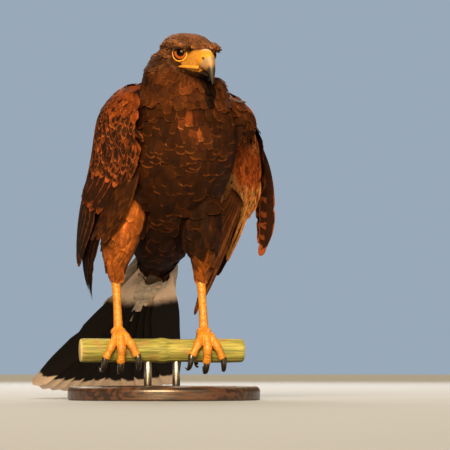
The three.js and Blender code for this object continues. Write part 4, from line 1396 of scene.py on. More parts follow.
def cover_of_tail(finish, rng, side, skin_map):
    """White coverts over the root of the tail, above (1) or below (-1)."""
    feathers = Feathers()
    for layer, (back, length, half, count) in enumerate(TAIL_COVERTS[side][::-1]):
        for i in range(count):
            k = 2 * i / (count - 1) - 1
            turn = math.radians(k * TAIL_SPREAD * 0.75)
            way = TAIL_AHEAD * math.cos(turn) + TAIL_OVER * math.sin(turn)
            across = TAIL_OVER * math.cos(turn) - TAIL_AHEAD * math.sin(turn)
            ahead = (22 if side > 0 else 2) - back
            start = np.array(TAIL_ROOT) + across * k * 13 - TAIL_AHEAD * ahead + TAIL_UP * side * 2
            height = side * (2.5 + 1.9 * layer - 4.2 * k * k)
            long = length * (1 - 0.12 * k * k)
            parts = tail_feather(start, way, across, long, half, rng, height, side * 1.5, 0, 10, 7, 0.2)
            tone = np.exp(rng.normal(0, 0.06))
            feathers.add(*parts, WHITE * tone, WHITE * 0.9)
    name = "tail_coverts_above" if side > 0 else "tail_coverts_below"
    return feathers.piece(name, finish, skin_map)


# Head pieces
def ring_piece(name, middle, sizes, sides, finish, flat=1.0):
    """A closed roll round a closed loop of points."""
    middle = np.asarray(middle, float)
    count = len(middle)
    way = unit(np.roll(middle, -1, 0) - np.roll(middle, 1, 0))
    centre = middle.mean(0)
    out = unit(middle - centre)
    out = unit(out - way * (out * way).sum(1, keepdims=True))
    up = np.cross(way, out)
    rings = ovals(middle, out, up, sizes, np.asarray(sizes) * flat, sides)
    faces = []
    for r in range(count):
        for s in range(sides):
            a, b = r * sides + s, r * sides + (s + 1) % sides
            c, d = ((r + 1) % count) * sides + (s + 1) % sides, ((r + 1) % count) * sides + s
            faces.append([a, b, c, d])
    verts, faces = outward(rings.reshape(-1, 3), faces)
    return new_object(name, verts, faces, finish)


def eye_piece(side, finish):
    """The ball of the eye, with its iris and pupil told by how far each point is from the gaze."""
    hand = HANDS[side]
    centre = eye_centre(hand)
    gaze = unit(head_way((hand * GAZE[0], GAZE[1], GAZE[2])))
    rows, sides = 48, 64
    polar = np.linspace(0, np.pi, rows)
    helper = unit(np.cross(gaze, [0, 0, 1]))
    other = np.cross(gaze, helper)
    verts, faces = [centre + gaze * (EYE_RADIUS + 0.25)], []
    for a in polar[1:-1]:
        bulge = EYE_RADIUS + 0.25 * np.exp(-(a / 0.6) ** 4)
        for k in range(sides):
            b = 2 * np.pi * k / sides
            out = helper * np.cos(b) + other * np.sin(b)
            verts.append(centre + bulge * (gaze * np.cos(a) + np.sin(a) * out))
    verts.append(centre - gaze * EYE_RADIUS)
    last = len(verts) - 1
    for k in range(sides):
        n = (k + 1) % sides
        faces.append([0, 1 + k, 1 + n])
        faces.append([last, last - sides + n, last - sides + k])
    for r in range(rows - 3):
        for k in range(sides):
            n = (k + 1) % sides
            a = 1 + r * sides
            faces.append([a + k, a + sides + k, a + sides + n, a + n])
    verts, faces = outward(np.array(verts), faces)
    made = new_object(f"eyeball_{side}", verts, faces, finish)
    turned = np.arccos(np.clip(unit(verts - centre) @ gaze, -1, 1))
    spread_value(made.data, "turned", turned)
    # how high each point lies, for the painted shade under the brow
    spread_value(made.data, "upper", unit(verts - centre) @ head_way((0, 0, 1)))
    return made


def lid_loop(hand, angle, rise=0.0, count=56, squash=0.93):
    """A loop on the ball of the eye, round the way it faces; the top is pressed down under the brow."""
    centre = eye_centre(hand)
    way = lid_way(hand)
    aside = unit(np.cross(way, head_way((0, 0, 1))))
    up = np.cross(aside, way)
    if up @ head_way((0, 0, 1)) < 0:
        up = -up
    turn = round_turn(count)
    tall = np.where(np.sin(turn) > 0, squash * 0.8, squash)
    spot = np.sin(angle) * (np.cos(turn)[:, None] * aside + (np.sin(turn) * tall)[:, None] * up)
    spot = unit(way * np.cos(angle) + spot)
    return centre + spot * (EYE_RADIUS + rise), np.sin(turn)


def bill_rings(count, sides, sunk=0.0):
    t = np.linspace(0, 1, count)
    read = [reading([b[k] for b in BILL])(t) for k in range(5)]
    top = head_point(np.stack([0 * t, read[0], read[1]], 1))
    foot = head_point(np.stack([0 * t, read[2], read[3]], 1))
    middle = (top + foot) / 2
    up = unit(top - foot)
    high = np.linalg.norm(top - foot, axis=1) / 2
    side = np.tile(head_way((1, 0, 0)), (count, 1))
    half = read[4]
    turn = round_turn(sides)
    c, s = np.cos(turn), np.sin(turn)
    ridge = np.where(s > 0, 1 - 0.22 * s ** 3, 1.0)
    wide = np.maximum(half - sunk, 0.25)[:, None, None] * (c * ridge)[None, :, None]
    tall = np.maximum(high - sunk, 0.25)[:, None, None] * s[None, :, None]
    return middle[:, None] + side[:, None] * wide + up[:, None] * tall


def cut_body(name, verts, faces, finish, cuts=(), holes=()):
    """A closed body trimmed by planes (point, the way that goes), each cut closed, with holes taken out."""
    made = new_object(name, verts, faces)
    for point, way in cuts:
        mesh = made.data
        bm = bmesh.new()
        bm.from_mesh(mesh)
        geometry = bm.verts[:] + bm.edges[:] + bm.faces[:]
        found = bmesh.ops.bisect_plane(
            bm, geom=geometry, plane_co=Vector(np.asarray(point) * MM), plane_no=Vector(way), clear_outer=True
        )
        rim = [e for e in found["geom_cut"] if isinstance(e, bmesh.types.BMEdge)]
        bmesh.ops.edgeloop_fill(bm, edges=rim)
        bm.to_mesh(mesh)
        bm.free()
    for hole in holes:
        cut = made.modifiers.new("hole", "BOOLEAN")
        cut.object = hole
        cut.solver = "EXACT"
    if holes:
        made = settled(name, made)
        for hole in holes:
            bpy.data.objects.remove(hole)
    made.data.materials.clear()
    made.data.materials.append(finish.material)
    made.data.shade_smooth()
    return made


def ellipsoid(name, centre, axes, radii, rows=10, sides=16):
    polar = np.linspace(0, np.pi, rows)
    axes = np.asarray(axes)
    rings = []
    for a in polar[1:-1]:
        turn = round_turn(sides)
        ring = np.stack([np.sin(a) * np.cos(turn), np.sin(a) * np.sin(turn), np.full(sides, np.cos(a))], 1)
        rings.append(centre + (ring * radii) @ axes)
    verts, faces = loft(np.array(rings))
    return new_object(name, verts, faces)


def bill_pieces(cere_finish, horn_finish):
    seam = head_point((0, CERE_FRONT, 0))
    lean = unit(head_way((0, -1, -SEAM_SLOPE)))
    rings = bill_rings(90, 48)
    holes = []
    for hand in HANDS.values():
        axes = unit(np.array([head_way((0, -0.8, -0.6)), head_way((0, -0.6, 0.8)), head_way((1, 0, 0))]))
        at = head_point((hand * NOSTRIL[0], NOSTRIL[1], NOSTRIL[2]))
        holes.append(ellipsoid("nostril", at, axes, (2.2, 0.85, 2.4)))
    cere = cut_body("cere_skin", *loft(rings), cere_finish, [(seam - lean * 0.1, lean)], holes)
    h = in_head(mesh_points(cere.data))
    away = (h - np.array(NOSTRIL)) * [0, 1, 1]
    slit = np.hypot(away @ [0, -0.8, -0.6], 2.4 * (away @ [0, -0.6, 0.8]))
    # the walls of the nostril holes are painted dark: painted shade inside the nostrils
    spread_value(cere.data, "slit", smooth_step(2.5, 1.9, slit) * (np.abs(h[:, 0]) > 4))
    spread_value(cere.data, "low", smooth_step(-7, -13, h[:, 2]))
    horn_rings = bill_rings(90, 48, 0.25)
    horn = cut_body("bill_horn", *loft(horn_rings), horn_finish, [(seam - lean * 1.2, -lean)])
    p = mesh_points(horn.data)
    h = in_head(p)
    tipward = (-h[:, 2] - 2) / 27 + 0.2 * smooth_step(-44, -54, h[:, 1])
    spread_value(horn.data, "tipward", np.clip(tipward, 0, 1))
    spread_value(horn.data, "off_seam", (p - seam) @ lean)
    return cere, horn


def lower_bill_piece(finish):
    t = np.linspace(0, 1, 28)
    y, z, half, high = (reading([b[k] for b in LOWER_BILL])(t) for k in range(4))
    side, up = np.tile(head_way((1, 0, 0)), (28, 1)), np.tile(head_way((0, 0, 1)), (28, 1))
    middle = head_point(np.stack([0 * y, y, z], 1))
    made = new_object("bill_lower_horn", *loft(ovals(middle, side, up, half, high, 28)), finish)
    h = in_head(mesh_points(made.data))
    above = h[:, 2] - np.interp(-h[:, 1], -y, z)
    # dark at the tip, and dark over the lower side as painted shade under the upper bill
    tip, rim = smooth_step(-35.5, -37.5, h[:, 1]), smooth_step(1.2, 0.2, above)
    spread_value(made.data, "dark", np.maximum(tip, rim))
    return made


def gape_pieces(finish):
    """The fleshy roll at each corner of the mouth."""
    made = []
    for side, hand in HANDS.items():
        line = Line(head_point([[hand * g[0], g[1], g[2]] for g in GAPE]))
        t = np.linspace(0, 1, 26)
        way = line.way(t)
        up = unit(head_way((0, 0, 1)) - way * (way @ head_way((0, 0, 1)))[:, None])
        out = np.cross(way, up)
        size = lerp(GAPE_SIZE[0], GAPE_SIZE[1], t) * np.sqrt(np.clip(1 - t ** 6, 0.02, 1))
        rings = ovals(line(t), out, up, size, size * GAPE_TALL, 16)
        verts, faces = loft(rings)
        piece = new_object(f"gape_{side}", verts, faces)
        middles = np.repeat(line(t), 16, axis=0)
        lows = (middles - verts[:len(middles)]) @ head_way((0, 0, 1)) / 1.6
        spread_value(piece.data, "low", np.concatenate([np.clip(lows, 0, 1), [0, 0]]))
        piece.data.materials.append(finish.material)
        made.append(piece)
    return made


# Legs
# Room between a toe's middle line and the perch beyond the toe's own radius
TOE_ROOM = 0.3
FOOT_VOXEL = 0.62


def toe_line(side, toe):
    start, end, reach, size = TOES[toe]
    t = np.linspace(0, 1, 90)
    turn = np.radians(lerp(start, end, t))
    far = PERCH_RADIUS + size + TOE_ROOM
    x = FOOT_X[side] - HANDS[side] * reach * t
    return np.stack([x, -far * np.sin(turn), PERCH_AXIS + far * np.cos(turn)], 1)


def roll(points, sizes, sides, flat=1.0, plates=0, deep=0.0, up=None):
    """A closed limb round a line, with plates raised along its upper side."""
    points = np.asarray(points, float)
    count = len(points)
    way = unit(np.gradient(points, axis=0))
    side = np.array([1.0, 0, 0])
    sides_way = []
    for w in way:
        side = unit(side - w * (side @ w))
        sides_way.append(side)
    across = np.array(sides_way)
    high = np.cross(way, across)
    if up is not None:
        high = unit(up - way * (up * way).sum(1, keepdims=True))
        across = np.cross(high, way)
    t = np.linspace(0, 1, count)
    turn = round_turn(sides)
    c, s = np.cos(turn)[None], np.sin(turn)[None]
    saw = (t * plates) % 1.0
    ridge = deep * (1 - saw)[:, None] * np.clip(s * 1.3, 0, 1)
    r = np.asarray(sizes)[:, None] + ridge
    rings = points[:, None] + across[:, None] * (r * c)[..., None] + high[:, None] * (r * s * flat)[..., None]
    return loft(rings)


def foot_pieces(side, skin_finish, claw_finish):
    hand = HANDS[side]
    x = FOOT_X[side]
    axis = np.array([x, 0, PERCH_AXIS])
    parts = []
    for toe, (start, end, reach, size) in TOES.items():
        line = toe_line(side, toe)
        root = np.array([[x, 1.0, PERCH_TOP + 6.6]])
        points = Line(np.vstack([root, line[::6]]))(np.linspace(0, 1, 120))
        outward_way = points - axis
        outward_way[:, 0] = 0
        t = np.linspace(0, 1, 120)
        joints = 1 + 0.1 * np.cos(2 * np.pi * (t * 3.0)) * smooth_step(0, 0.2, t)
        sizes = size * 0.93 * joints * lerp(1.05, 0.84, t)
        parts.append(roll(points, sizes, 20, 0.95, 17, 0.55, unit(outward_way)))
    foot = np.array([x, 1, PERCH_TOP + 7])
    ankle = np.array(ANKLE[side], float)
    shank_line = Line([ankle + [0, 4, 10], ankle, (ankle + foot) / 2 + [0, -1, 0], foot, foot + [0, -1, -5]])
    points = shank_line(np.linspace(0, 1, 150))
    t = np.linspace(0, 1, 150)
    sizes = reading([5.4, 5.0, 4.2, 5.0, 5.6])(t)
    front = np.tile([0.0, -1, 0], (150, 1))
    parts.append(roll(points, sizes, 26, 1.08, 20, 0.6, front))
    pad = ellipsoid("pad", np.array([x, 0.5, PERCH_TOP + 6.4]), np.eye(3), (8.2, 8.0, 5.6), 16, 28)
    pad_verts = np.array([v.co for v in pad.data.vertices]) / MM
    pad_faces = [list(p.vertices) for p in pad.data.polygons]
    bpy.data.objects.remove(pad)
    parts.append((pad_verts, pad_faces))
    leg = fused(f"leg_{side}", parts, FOOT_VOXEL, 0.4, 1)
    leg.data.shade_smooth()
    leg.data.materials.append(skin_finish.material)
    claws = []
    for toe, (start, end, reach, size) in TOES.items():
        way = math.copysign(1, end - start)
        far = PERCH_RADIUS + size + TOE_ROOM
        t = np.linspace(0, 1, 30)
        turn = np.radians(end + way * lerp(-8, 62, t))
        radius = far + lerp(0.6, 1.2, t) + 5 * np.sin(np.pi * t) - 2.2 * t
        line = np.stack([
            x - hand * reach * (1 + 0.18 * t), -radius * np.sin(turn), PERCH_AXIS + radius * np.cos(turn)
        ], 1)
        sizes = reading([3.3, 3.2, 2.7, 2, 1.2, 0.5])(t)
        claw = new_object(f"talon_{side}_{toe}", *roll(line, sizes, 18), claw_finish)
        claws.append((claw, toe))
    return leg, claws


# Stand and perch
def stem_piece(finish):
    count, sides = 120, 72
    t = np.linspace(0, 1, count)
    wave = 0.5 * np.sin(9 * t) + 0.4 * np.cos(15 * t)
    knot = 1.2 * np.exp(-((t - 0.5) / 0.035) ** 2)
    r = PERCH_RADIUS - 0.8 + 0.5 * wave + knot
    turn = round_turn(sides)
    grooves = 0.16 * np.sin(turn * 14 + 0.8 * np.sin(3 * turn)) + 0.1 * np.sin(turn * 23 + 1.0)
    radius = r[:, None] + grooves[None] - 0.1
    rim = smooth_step(0, 0.012, t) * smooth_step(1, 0.988, t)
    radius = radius - 0.9 * (1 - rim)[:, None]
    x = lerp(-88, 84, t)
    rings = np.stack([
        np.tile(x[:, None], (1, sides)), radius * np.cos(turn)[None], PERCH_AXIS + radius * np.sin(turn)[None]
    ], -1)
    return new_object("perch_stem", *loft(rings), finish)


def turned_rings(profile, sides, x=0.0):
    """Rings of a turned body about an upright axis at x, from its radii and heights."""
    turn = round_turn(sides)
    return np.array([
        np.stack([x + a * np.cos(turn), a * np.sin(turn), np.full(sides, z)], 1) for a, z in profile
    ])


def base_piece(finish):
    r = BASE_RADIUS
    profile = [
        (0.5, 0), (r - 1.6, 0), (r - 0.5, 0.5), (r, 1.5), (r, BASE_THICK - 5), (r - 0.4, BASE_THICK - 3.4),
        (r - 1.4, BASE_THICK - 1.7), (r - 3, BASE_THICK - 0.5), (r - 5, BASE_THICK), (0.5, BASE_THICK),
    ]
    made = new_object("base_disc", *loft(turned_rings(profile, 144)), finish)
    made.data.shade_flat()
    return made


def rod_piece(index, x, finish):
    low, high, inner = BASE_THICK + 0.33, PERCH_AXIS - 9.5, ROD_RADIUS - 0.4
    profile = [(inner, low), (ROD_RADIUS, low + 0.4), (ROD_RADIUS, high - 0.4), (inner, high)]
    return new_object(f"rod_{index}", *loft(turned_rings(profile, 40, x)), finish)


# Finishes
def skin_paint():
    paint = Paint("skin under the coat", 0.7, Specular_IOR_Level=0.06)
    base = paint.attribute("ground")
    shade = paint.ramp(paint.noise(420.0, 4.0), 0.3, 0.7, 0.78, 1.16)
    paint.colour(times(paint, base, shade))
    return paint.bump(paint.noise(1500.0), 0.0001, 0.25)


def cere_paint():
    paint = Paint("yellow cere", 0.42, Subsurface_Weight=0.12, Subsurface_Scale=0.002)
    blotch = paint.noise(260.0, 4.0)
    base = paint.mix(paint.ramp(blotch, 0.35, 0.7), CERE, CERE * 0.8)
    base = paint.mix(paint.math("MULTIPLY", paint.attribute("low", "Fac"), 0.7), base, linear(176, 88, 34))
    # the nostril walls are darkened as painted shade inside the holes
    paint.colour(paint.mix(paint.attribute("slit", "Fac"), base, linear(46, 12, 8)))
    height = paint.math("ADD", paint.noise(1400.0), paint.math("MULTIPLY", paint.cells(900.0), 0.6))
    return paint.bump(height, 0.0003, 0.5)


def horn_paint():
    """Tan horn, blue-grey near its seam and dark at the hook."""
    paint = Paint("bill horn", 0.48)
    depth = paint.math("MULTIPLY_ADD", paint.noise(160.0), 0.16, paint.attribute("tipward", "Fac"))
    off_seam = paint.math("MULTIPLY_ADD", paint.noise(240.0), 3.0, paint.attribute("off_seam", "Fac"))
    near = paint.ramp(off_seam, 5.5, 3.0)
    root = paint.mix(paint.math("MULTIPLY", near, 0.75), linear(146, 110, 70), linear(130, 124, 106))
    base = paint.mix(paint.ramp(depth, 0.42, 0.72), root, linear(36, 27, 12))
    grain = paint.noise(1.0, 3.0, paint.place((900, 900, 120)))
    shade = paint.ramp(grain, 0.3, 0.7, 0.84, 1.14)
    paint.colour(times(paint, base, shade))
    return paint.bump(grain, 0.00008, 0.4)


def lower_horn_paint():
    paint = Paint("lower bill", 0.7, Specular_IOR_Level=0.1)
    blotch = paint.noise(300.0)
    yellow = paint.mix(blotch, linear(176, 118, 30), linear(150, 96, 30))
    # yellow, turning dark at the tip and as painted shade over the lower side
    paint.colour(paint.mix(paint.attribute("dark", "Fac"), yellow, linear(24, 16, 10)))
    return paint.bump(paint.noise(900.0, 2.0), 0.0002, 0.3)


def eye_paint():
    paint = Paint("eye", 0.06, Specular_IOR_Level=0.12)
    turned = paint.attribute("turned", "Fac")
    flecks = paint.noise(2600.0)
    iris = paint.mix(flecks, linear(120, 52, 16), linear(196, 104, 36))
    iris = paint.mix(paint.ramp(turned, 0.46, 0.54), linear(58, 20, 9), iris)
    # the upper part of the eye is darkened as painted shade under the brow; the dark ring round the iris is
    # its own colour
    upper = paint.ramp(paint.attribute("upper", "Fac"), 0.0, 0.3)
    dark = paint.math("MAXIMUM", paint.ramp(turned, 0.78, 0.86), upper)
    base = paint.mix(dark, iris, linear(14, 8, 6))
    base = paint.mix(paint.ramp(turned, 0.42, 0.38), base, linear(4, 3, 3))
    return paint.colour(base)


def lid_paint(name, colour, second, roughness):
    paint = Paint(name, roughness)
    base = paint.mix(paint.ramp(paint.noise(700.0), 0.35, 0.65), colour, second)
    # the upper part of the lid turns brownish dark: painted shade under the brow
    paint.colour(paint.mix(paint.ramp(paint.attribute("upper", "Fac"), 0.5, 0.75), base, linear(58, 34, 22)))
    return paint.bump(paint.noise(2400.0, 2.0), 0.0002, 0.5)


def leg_paint():
    paint = Paint("yellow leg skin", 0.46, Subsurface_Weight=0.08, Subsurface_Scale=0.002)
    cells = paint.cells(520.0)
    blotch = paint.noise(160.0, 4.0)
    base = paint.mix(paint.ramp(blotch, 0.35, 0.7), linear(190, 132, 36), linear(172, 108, 26))
    base = paint.mix(paint.ramp(cells, 0.25, 0.65, 0.0, 0.4), base, linear(116, 72, 24))
    paint.colour(base)
    return paint.bump(paint.math("MULTIPLY", cells, -1.0), 0.0004, 0.7)


def claw_paint():
    paint = Paint("claw", 0.24, Coat_Weight=0.3, Coat_Roughness=0.15)
    streak = paint.noise(1.0, 3.0, paint.place((500, 500, 900)))
    paint.colour(paint.mix(streak, linear(14, 12, 12), linear(44, 38, 34)))
    return paint.bump(streak, 0.00006, 0.4)


def stem_paint():
    """Fibrous olive-green bark, pale on the cut ends."""
    paint = Paint("cut stem", 0.68)
    fibres = paint.noise(1.0, 5.0, paint.place((30, 420, 420)))
    patches = paint.noise(46.0, 4.0)
    bark = paint.mix(paint.ramp(fibres, 0.3, 0.72), linear(86, 92, 38), linear(152, 150, 76))
    bark = paint.mix(paint.ramp(patches, 0.5, 0.72), bark, linear(132, 104, 60))
    where = paint.node("ShaderNodeSeparateXYZ", {0: paint.node("ShaderNodeTexCoord").outputs["Object"]})
    along = where.outputs[0]
    ends = paint.math("MAXIMUM", paint.ramp(along, 0.0832, 0.0838), paint.ramp(along, -0.0872, -0.0878))
    pith = paint.mix(paint.cells(900.0), linear(214, 198, 142), linear(166, 146, 92))
    paint.colour(paint.mix(ends, bark, pith))
    return paint.bump(fibres, 0.0008, 0.7)


def wood_paint():
    paint = Paint("stained wood", 0.36, Coat_Weight=0.35, Coat_Roughness=0.18)
    wander = paint.noise(1.0, 4.0, paint.place((6, 60, 60)))
    fine = paint.noise(1.0, 3.0, paint.place((40, 900, 900)))
    rings = paint.math("SINE", paint.math("MULTIPLY", wander, 46.0))
    base = paint.mix(paint.ramp(rings, -1.0, 1.0), linear(34, 22, 17), linear(70, 45, 32))
    base = paint.mix(paint.ramp(fine, 0.55, 0.75, 0.0, 0.6), base, linear(24, 15, 12))
    paint.colour(base)
    return paint.bump(fine, 0.0002, 0.35)


def steel_paint():
    paint = Paint("brushed steel", 0.3, Metallic=1.0)
    brushed = paint.noise(1.0, 2.0, paint.place((1400, 1400, 60)))
    paint.colour(paint.mix(brushed, linear(150, 150, 148), linear(186, 186, 184)))
    paint.rough(paint.ramp(brushed, 0.3, 0.7, 0.24, 0.42))
    return paint.bump(brushed, 0.00005, 0.3)


def tail_paint():
    """Sooty vanes with a white root and a white tip band."""
    paint = feather_paint("tail feathers", barbs=90.0, slant=14.0, shaft=0.035)
    down = paint.math("MULTIPLY_ADD", paint.noise(260.0), 0.03, vane_place(paint)[1])
    band = paint.math("MAXIMUM", paint.ramp(down, 0.915, 0.935), paint.ramp(down, 0.3, 0.22))
    white = paint.mix(paint.noise(500.0), WHITE, linear(226, 196, 178))
    soot = paint.attribute("ground")
    wave = paint.math("SINE", paint.math("MULTIPLY", down, 560.0))
    body = paint.mix(band, soot, white)
    paint.colour(times(paint, body, paint.math("MULTIPLY_ADD", wave, 0.08, 1.0)))
    return paint


def dress(piece, slot_name, *replaced):
    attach(piece, "root")
    if replaced:
        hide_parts(*replaced)
    return piece


# Gaps between roots at which the coat turns from fine to middle and to broad feathers
FINE_GAP, BROAD_GAP = 2.75, 5.4
# Bare skin above this share carries no feathers
BARE_FROM = 0.35
# Where the back begins, from front to back
BACK_FROM = 14


def build_body(paints, rng):
    """The skin and the coat of small feathers over it; gives back the skin's map."""
    skin = skin_object()
    fields = skin_fields(skin)
    fields["bend"] = along_bend(fields, skin.data)
    unwrap(skin)
    p = fields["p"]
    bare = is_bare(p)
    # the skin takes the coat's colours, its painted fold shadows included
    ground, _ = plumage(p, fields["part"])
    ground = mixed(ground * 0.8, LORE, bare)
    paint_points(skin.data, "ground", ground)
    skin.data.materials.clear()
    skin.data.materials.append(paints["skin"].material)
    skin.data.shade_smooth()
    dress(skin, "plumage_brown", "torso", "neck", "head", "thigh_left", "thigh_right")

    tree = coat_tree()
    skin_map = SkinMap(skin)
    families = {
        "fine": vane_family("fine_feather", 5, 3, rng, arc=0.3, camber=0.12, ragged=0.04),
        "middle": vane_family("neck_feather", 7, 5, rng, arc=0.28, camber=0.1, ragged=0.035),
        "broad": vane_family("body_feather", 9, 7, rng, arc=0.27, camber=0.08, ragged=0.02),
        "long": vane_family("thigh_feather", 8, 5, rng, arc=0.2, camber=0.12, ragged=0.05),
    }
    wings = np.isin(fields["part"], WING_PARTS)
    chosen = choose_roots(fields, (bare < BARE_FROM) & ~wings & ~fields["ends"], rng)
    where = fields["part"][chosen]
    behind = p[chosen, 1] >= BACK_FROM
    gap = fields["size"][chosen, 2]
    fine, broad = gap < FINE_GAP, gap >= BROAD_GAP
    trunk = np.isin(where, [TRUNK, NAPE, FACE])
    thighs = np.isin(where, THIGH_PARTS)
    sets = {
        "coat_head": (fine & (trunk | thighs), "fine", "head_coat", 0.16, -0.1),
        "coat_neck": (~fine & ~broad & trunk, "middle", "neck_coat", 0.12, -0.1),
        "coat_front": (broad & trunk & ~behind, "broad", "coat", 0.12, -0.1),
        "coat_back": (broad & trunk & behind, "broad", "coat", 0.11, 0.2),
        "coat_thighs": (thighs & ~fine, "long", "thigh_coat", 0.12, 0.0),
        "coat_shoulder": (where == ARM, "middle", "neck_coat", 0.08, 0.1),
    }
    for seed, (name, (mask, family, finish, lift, depth)) in enumerate(sets.items()):
        roots = root_set(fields, chosen[mask], skin_map, rng, lift)
        piece = coat_piece(name, tree, roots, families[family], paints[finish], lift, depth, seed)
        slot_name = "thigh_feathers" if name == "coat_thighs" else "plumage_brown"
        dress(piece, slot_name)
    for family in families.values():
        for shape in list(family.objects):
            bpy.data.objects.remove(shape)
        bpy.data.collections.remove(family)
    return skin_map


def right_covert_tones(rng):
    """Dark centres with rufous borders, all rufous near the shoulder."""
    def tones(s, v):
        bright = rng.uniform(0.35, 1.0) * lerp(1.1, 0.7, v)
        if rng.random() > smooth_step(0.0, 0.12, s) * 0.85:
            return RUFOUS * 0.65, RUFOUS_EDGE * 0.8 * bright, 0.0
        return COVERT_DARK, RUFOUS_EDGE * 0.85 * bright, 0.0
    return tones


def lining_tones(rng):
    """Wing lining: rufous, then deep rufous, then mottled with buff; near the shoulder and towards the body
    the tones are made brighter as painted light where the body's shadow falls.
    """
    def tones(s, v):
        # painted light: tones grow brighter towards the body, where its shadow falls
        painted_light_near_body = lerp(1, 3.2, min(max(v, 0), 1))
        if s < 0.2:
            # near the shoulder the rufous is made brighter still as painted light
            return RUFOUS * 1.6 * painted_light_near_body, BUFF * painted_light_near_body, 0.0
        if s < 0.34:
            return RUFOUS * painted_light_near_body, RUFOUS_EDGE * painted_light_near_body, rng.uniform(0, 0.5)
        pick = rng.random()
        tone = BUFF * 0.55 if pick < 0.35 else (COVERT_DARK * 1.6 if pick < 0.6 else RUFOUS)
        return tone * painted_light_near_body ** 0.6, BUFF * 0.9, rng.uniform(0.5, 1)
    return tones


# The mottled under side of the left wing's long feathers: buff and rufous, with the rufous made brighter as
# painted light where the body's shadow falls
LEFT_BELOW = {"under": mixed(RUFOUS * 1.6, BUFF, 0.4), "streaks": 1.0}


def flight_pieces(side, sheet, out, paints, rng):
    right = side == "right"
    flight = Feathers()
    spread = {"v0": (0.36, 0.07), "v1": (0.72, 0.15)} if right else {"v0": (0.3, 0.06), "v1": (0.62, 0.14)}
    row_of(flight, sheet, {
        "count": 9, "s0": 0.46, "s1": (0.86, 1.0), **spread, "half": (9.5, 7.6), "tip": 0.24, "splits": 2,
        "lift": (-3.4, -9.9) if right else (-6.4, -12.6),
    }, rng, FLIGHT, FLIGHT_EDGE, rows=18, **({} if right else LEFT_BELOW))
    dress(flight.piece(f"primaries_{side}", paints["flight"]), "flight_feathers", f"wing_{side}_hand")
    arm = Feathers()
    row_of(arm, sheet, {
        "count": 11, "s0": 0.26, "s1": (0.8, 0.72), "v0": (0.14, 0.94), "v1": (0.24, 0.82), "pad": out,
        "half": (10, 12), "lift": -1.0, "lift1": 0.4, "tilt": -0.06, "bow": 0.02, "tip": 0.3, "splits": 1,
    }, rng, FLIGHT * 1.1, FLIGHT_EDGE, rows=18)
    row_of(arm, sheet, {
        "count": 13, "s0": 0.2, "s1": (0.58, 0.5), "v0": (0.06, 0.94), "v1": (0.1, 0.9), "pad": out,
        "half": (7.6, 9.5), "lift": -0.3, "lift1": 1.6, "tilt": -0.06, "bow": 0.01, "tip": 0.3,
    }, rng, COVERT_DARK, RUFOUS, rows=14)
    row_of(arm, sheet, {
        "count": 14, "s0": 0.14, "s1": (0.46, 0.4), "v0": (0.04, 0.95), "v1": (0.06, 0.93), "pad": out,
        "half": (7, 8.4), "lift": 0.3, "lift1": 2.4, "tilt": -0.06, "tip": 0.3,
    }, rng, COVERT_DARK, RUFOUS_EDGE * 0.9, rows=12)
    dress(arm.piece(f"secondaries_{side}", paints["flight"]), "flight_feathers")


def build_wings(paints, rng, skin_map):
    flight_pieces("right", RIGHT_SHEET, RIGHT_OUT, paints, rng)
    flight_pieces("left", LEFT_SHEET, LEFT_OUT, paints, rng)
    coverts = Feathers()
    tones = right_covert_tones(rng)
    small_coverts(
        coverts, RIGHT_SHEET, RIGHT_OUT, rng, tones, (-0.01, 0.31), (-0.04, 1.0), (33, 4.3, 6.2), (0.1, 2.6)
    )
    small_coverts(coverts, RIGHT_SHEET, -RIGHT_IN, rng, tones, (0.02, 0.3), (-0.03, 0.3), (20, 4, 6))
    dress(coverts.piece("lesser_coverts_right", paints["covert"], skin_map), "wing_coverts", "wing_right_arm")
    coverts = Feathers()
    small_coverts(
        coverts, LEFT_SHEET, LEFT_OUT, rng, tones, (-0.01, 0.32), (-0.02, 1.0), (24, 5, 7), (0.1, 3.0)
    )
    dress(coverts.piece("lesser_coverts_left", paints["covert"], skin_map), "wing_coverts", "wing_left_arm")
    under = Feathers()
    row_of(under, LEFT_SHEET, {
        "count": 11, "s0": 0.26, "s1": (0.72, 0.56), "v0": (0.05, 0.9), "v1": (0.1, 0.86), "pad": -LEFT_IN,
        "half": (7, 8), "lift": -0.8, "lift1": -1.6, "tilt": 0.04, "tip": 0.3,
    }, rng, COVERT_DARK * 2.2, BUFF, rows=14, streaks=1.0)
    row_of(under, LEFT_SHEET, {
        "count": 13, "s0": 0.16, "s1": (0.54, 0.42), "v0": (0.03, 0.94), "v1": (0.05, 0.92), "pad": -LEFT_IN,
        "half": (6, 7), "lift": -1.0, "lift1": -2.6, "tilt": 0.04, "tip": 0.3,
    }, rng, RUFOUS, BUFF, rows=12, streaks=1.0)
    tones = lining_tones(rng)
    small_coverts(
        under, LEFT_SHEET, -LEFT_IN, rng, tones, (0.0, 0.4), (-0.05, 0.92), (24, 4.8, 6.2), (0.8, 3.2)
    )
    dress(under.piece("under_coverts_left", paints["covert"], skin_map), "wing_coverts")
    dress(finger_piece(paints["flight"], rng), "flight_feathers", "wing_left_outer_primaries")


def finger_piece(finish, rng):
    """The outer long feathers of the left wing, held a little apart from the rest."""
    finger = Feathers()
    line = Line(FINGER)
    for shift, half, reach in (((0, 0, 0), 8.6, 1.0), ((-3, 5, 3), 8.6, 0.9)):
        t, x, along, rim = blade_grid(28, 9, rng, 0.04, 0.006, 3)
        q = along * reach
        way = line.way(q)
        across = np.array([0.9, -0.35, 0.0])
        across = unit(across - way * (way @ across)[..., None])
        normal = np.cross(way, across)
        off = x * half * blade(t, root=0.5, tip=0.2, shoulder=0.85) * rim
        middle = line(q) + np.array(shift) + across * off[..., None] - normal * (1.2 * x * x)[..., None]
        thick = (0.35 * (1 - x * x) ** 0.5 + 0.02)[..., None] * normal
        finger.add(middle + thick, middle - thick, x, t, mixed(FLIGHT, RUFOUS, 0.1), RUFOUS_EDGE, 0.5)
    return finger.piece("outer_primaries_left", finish)


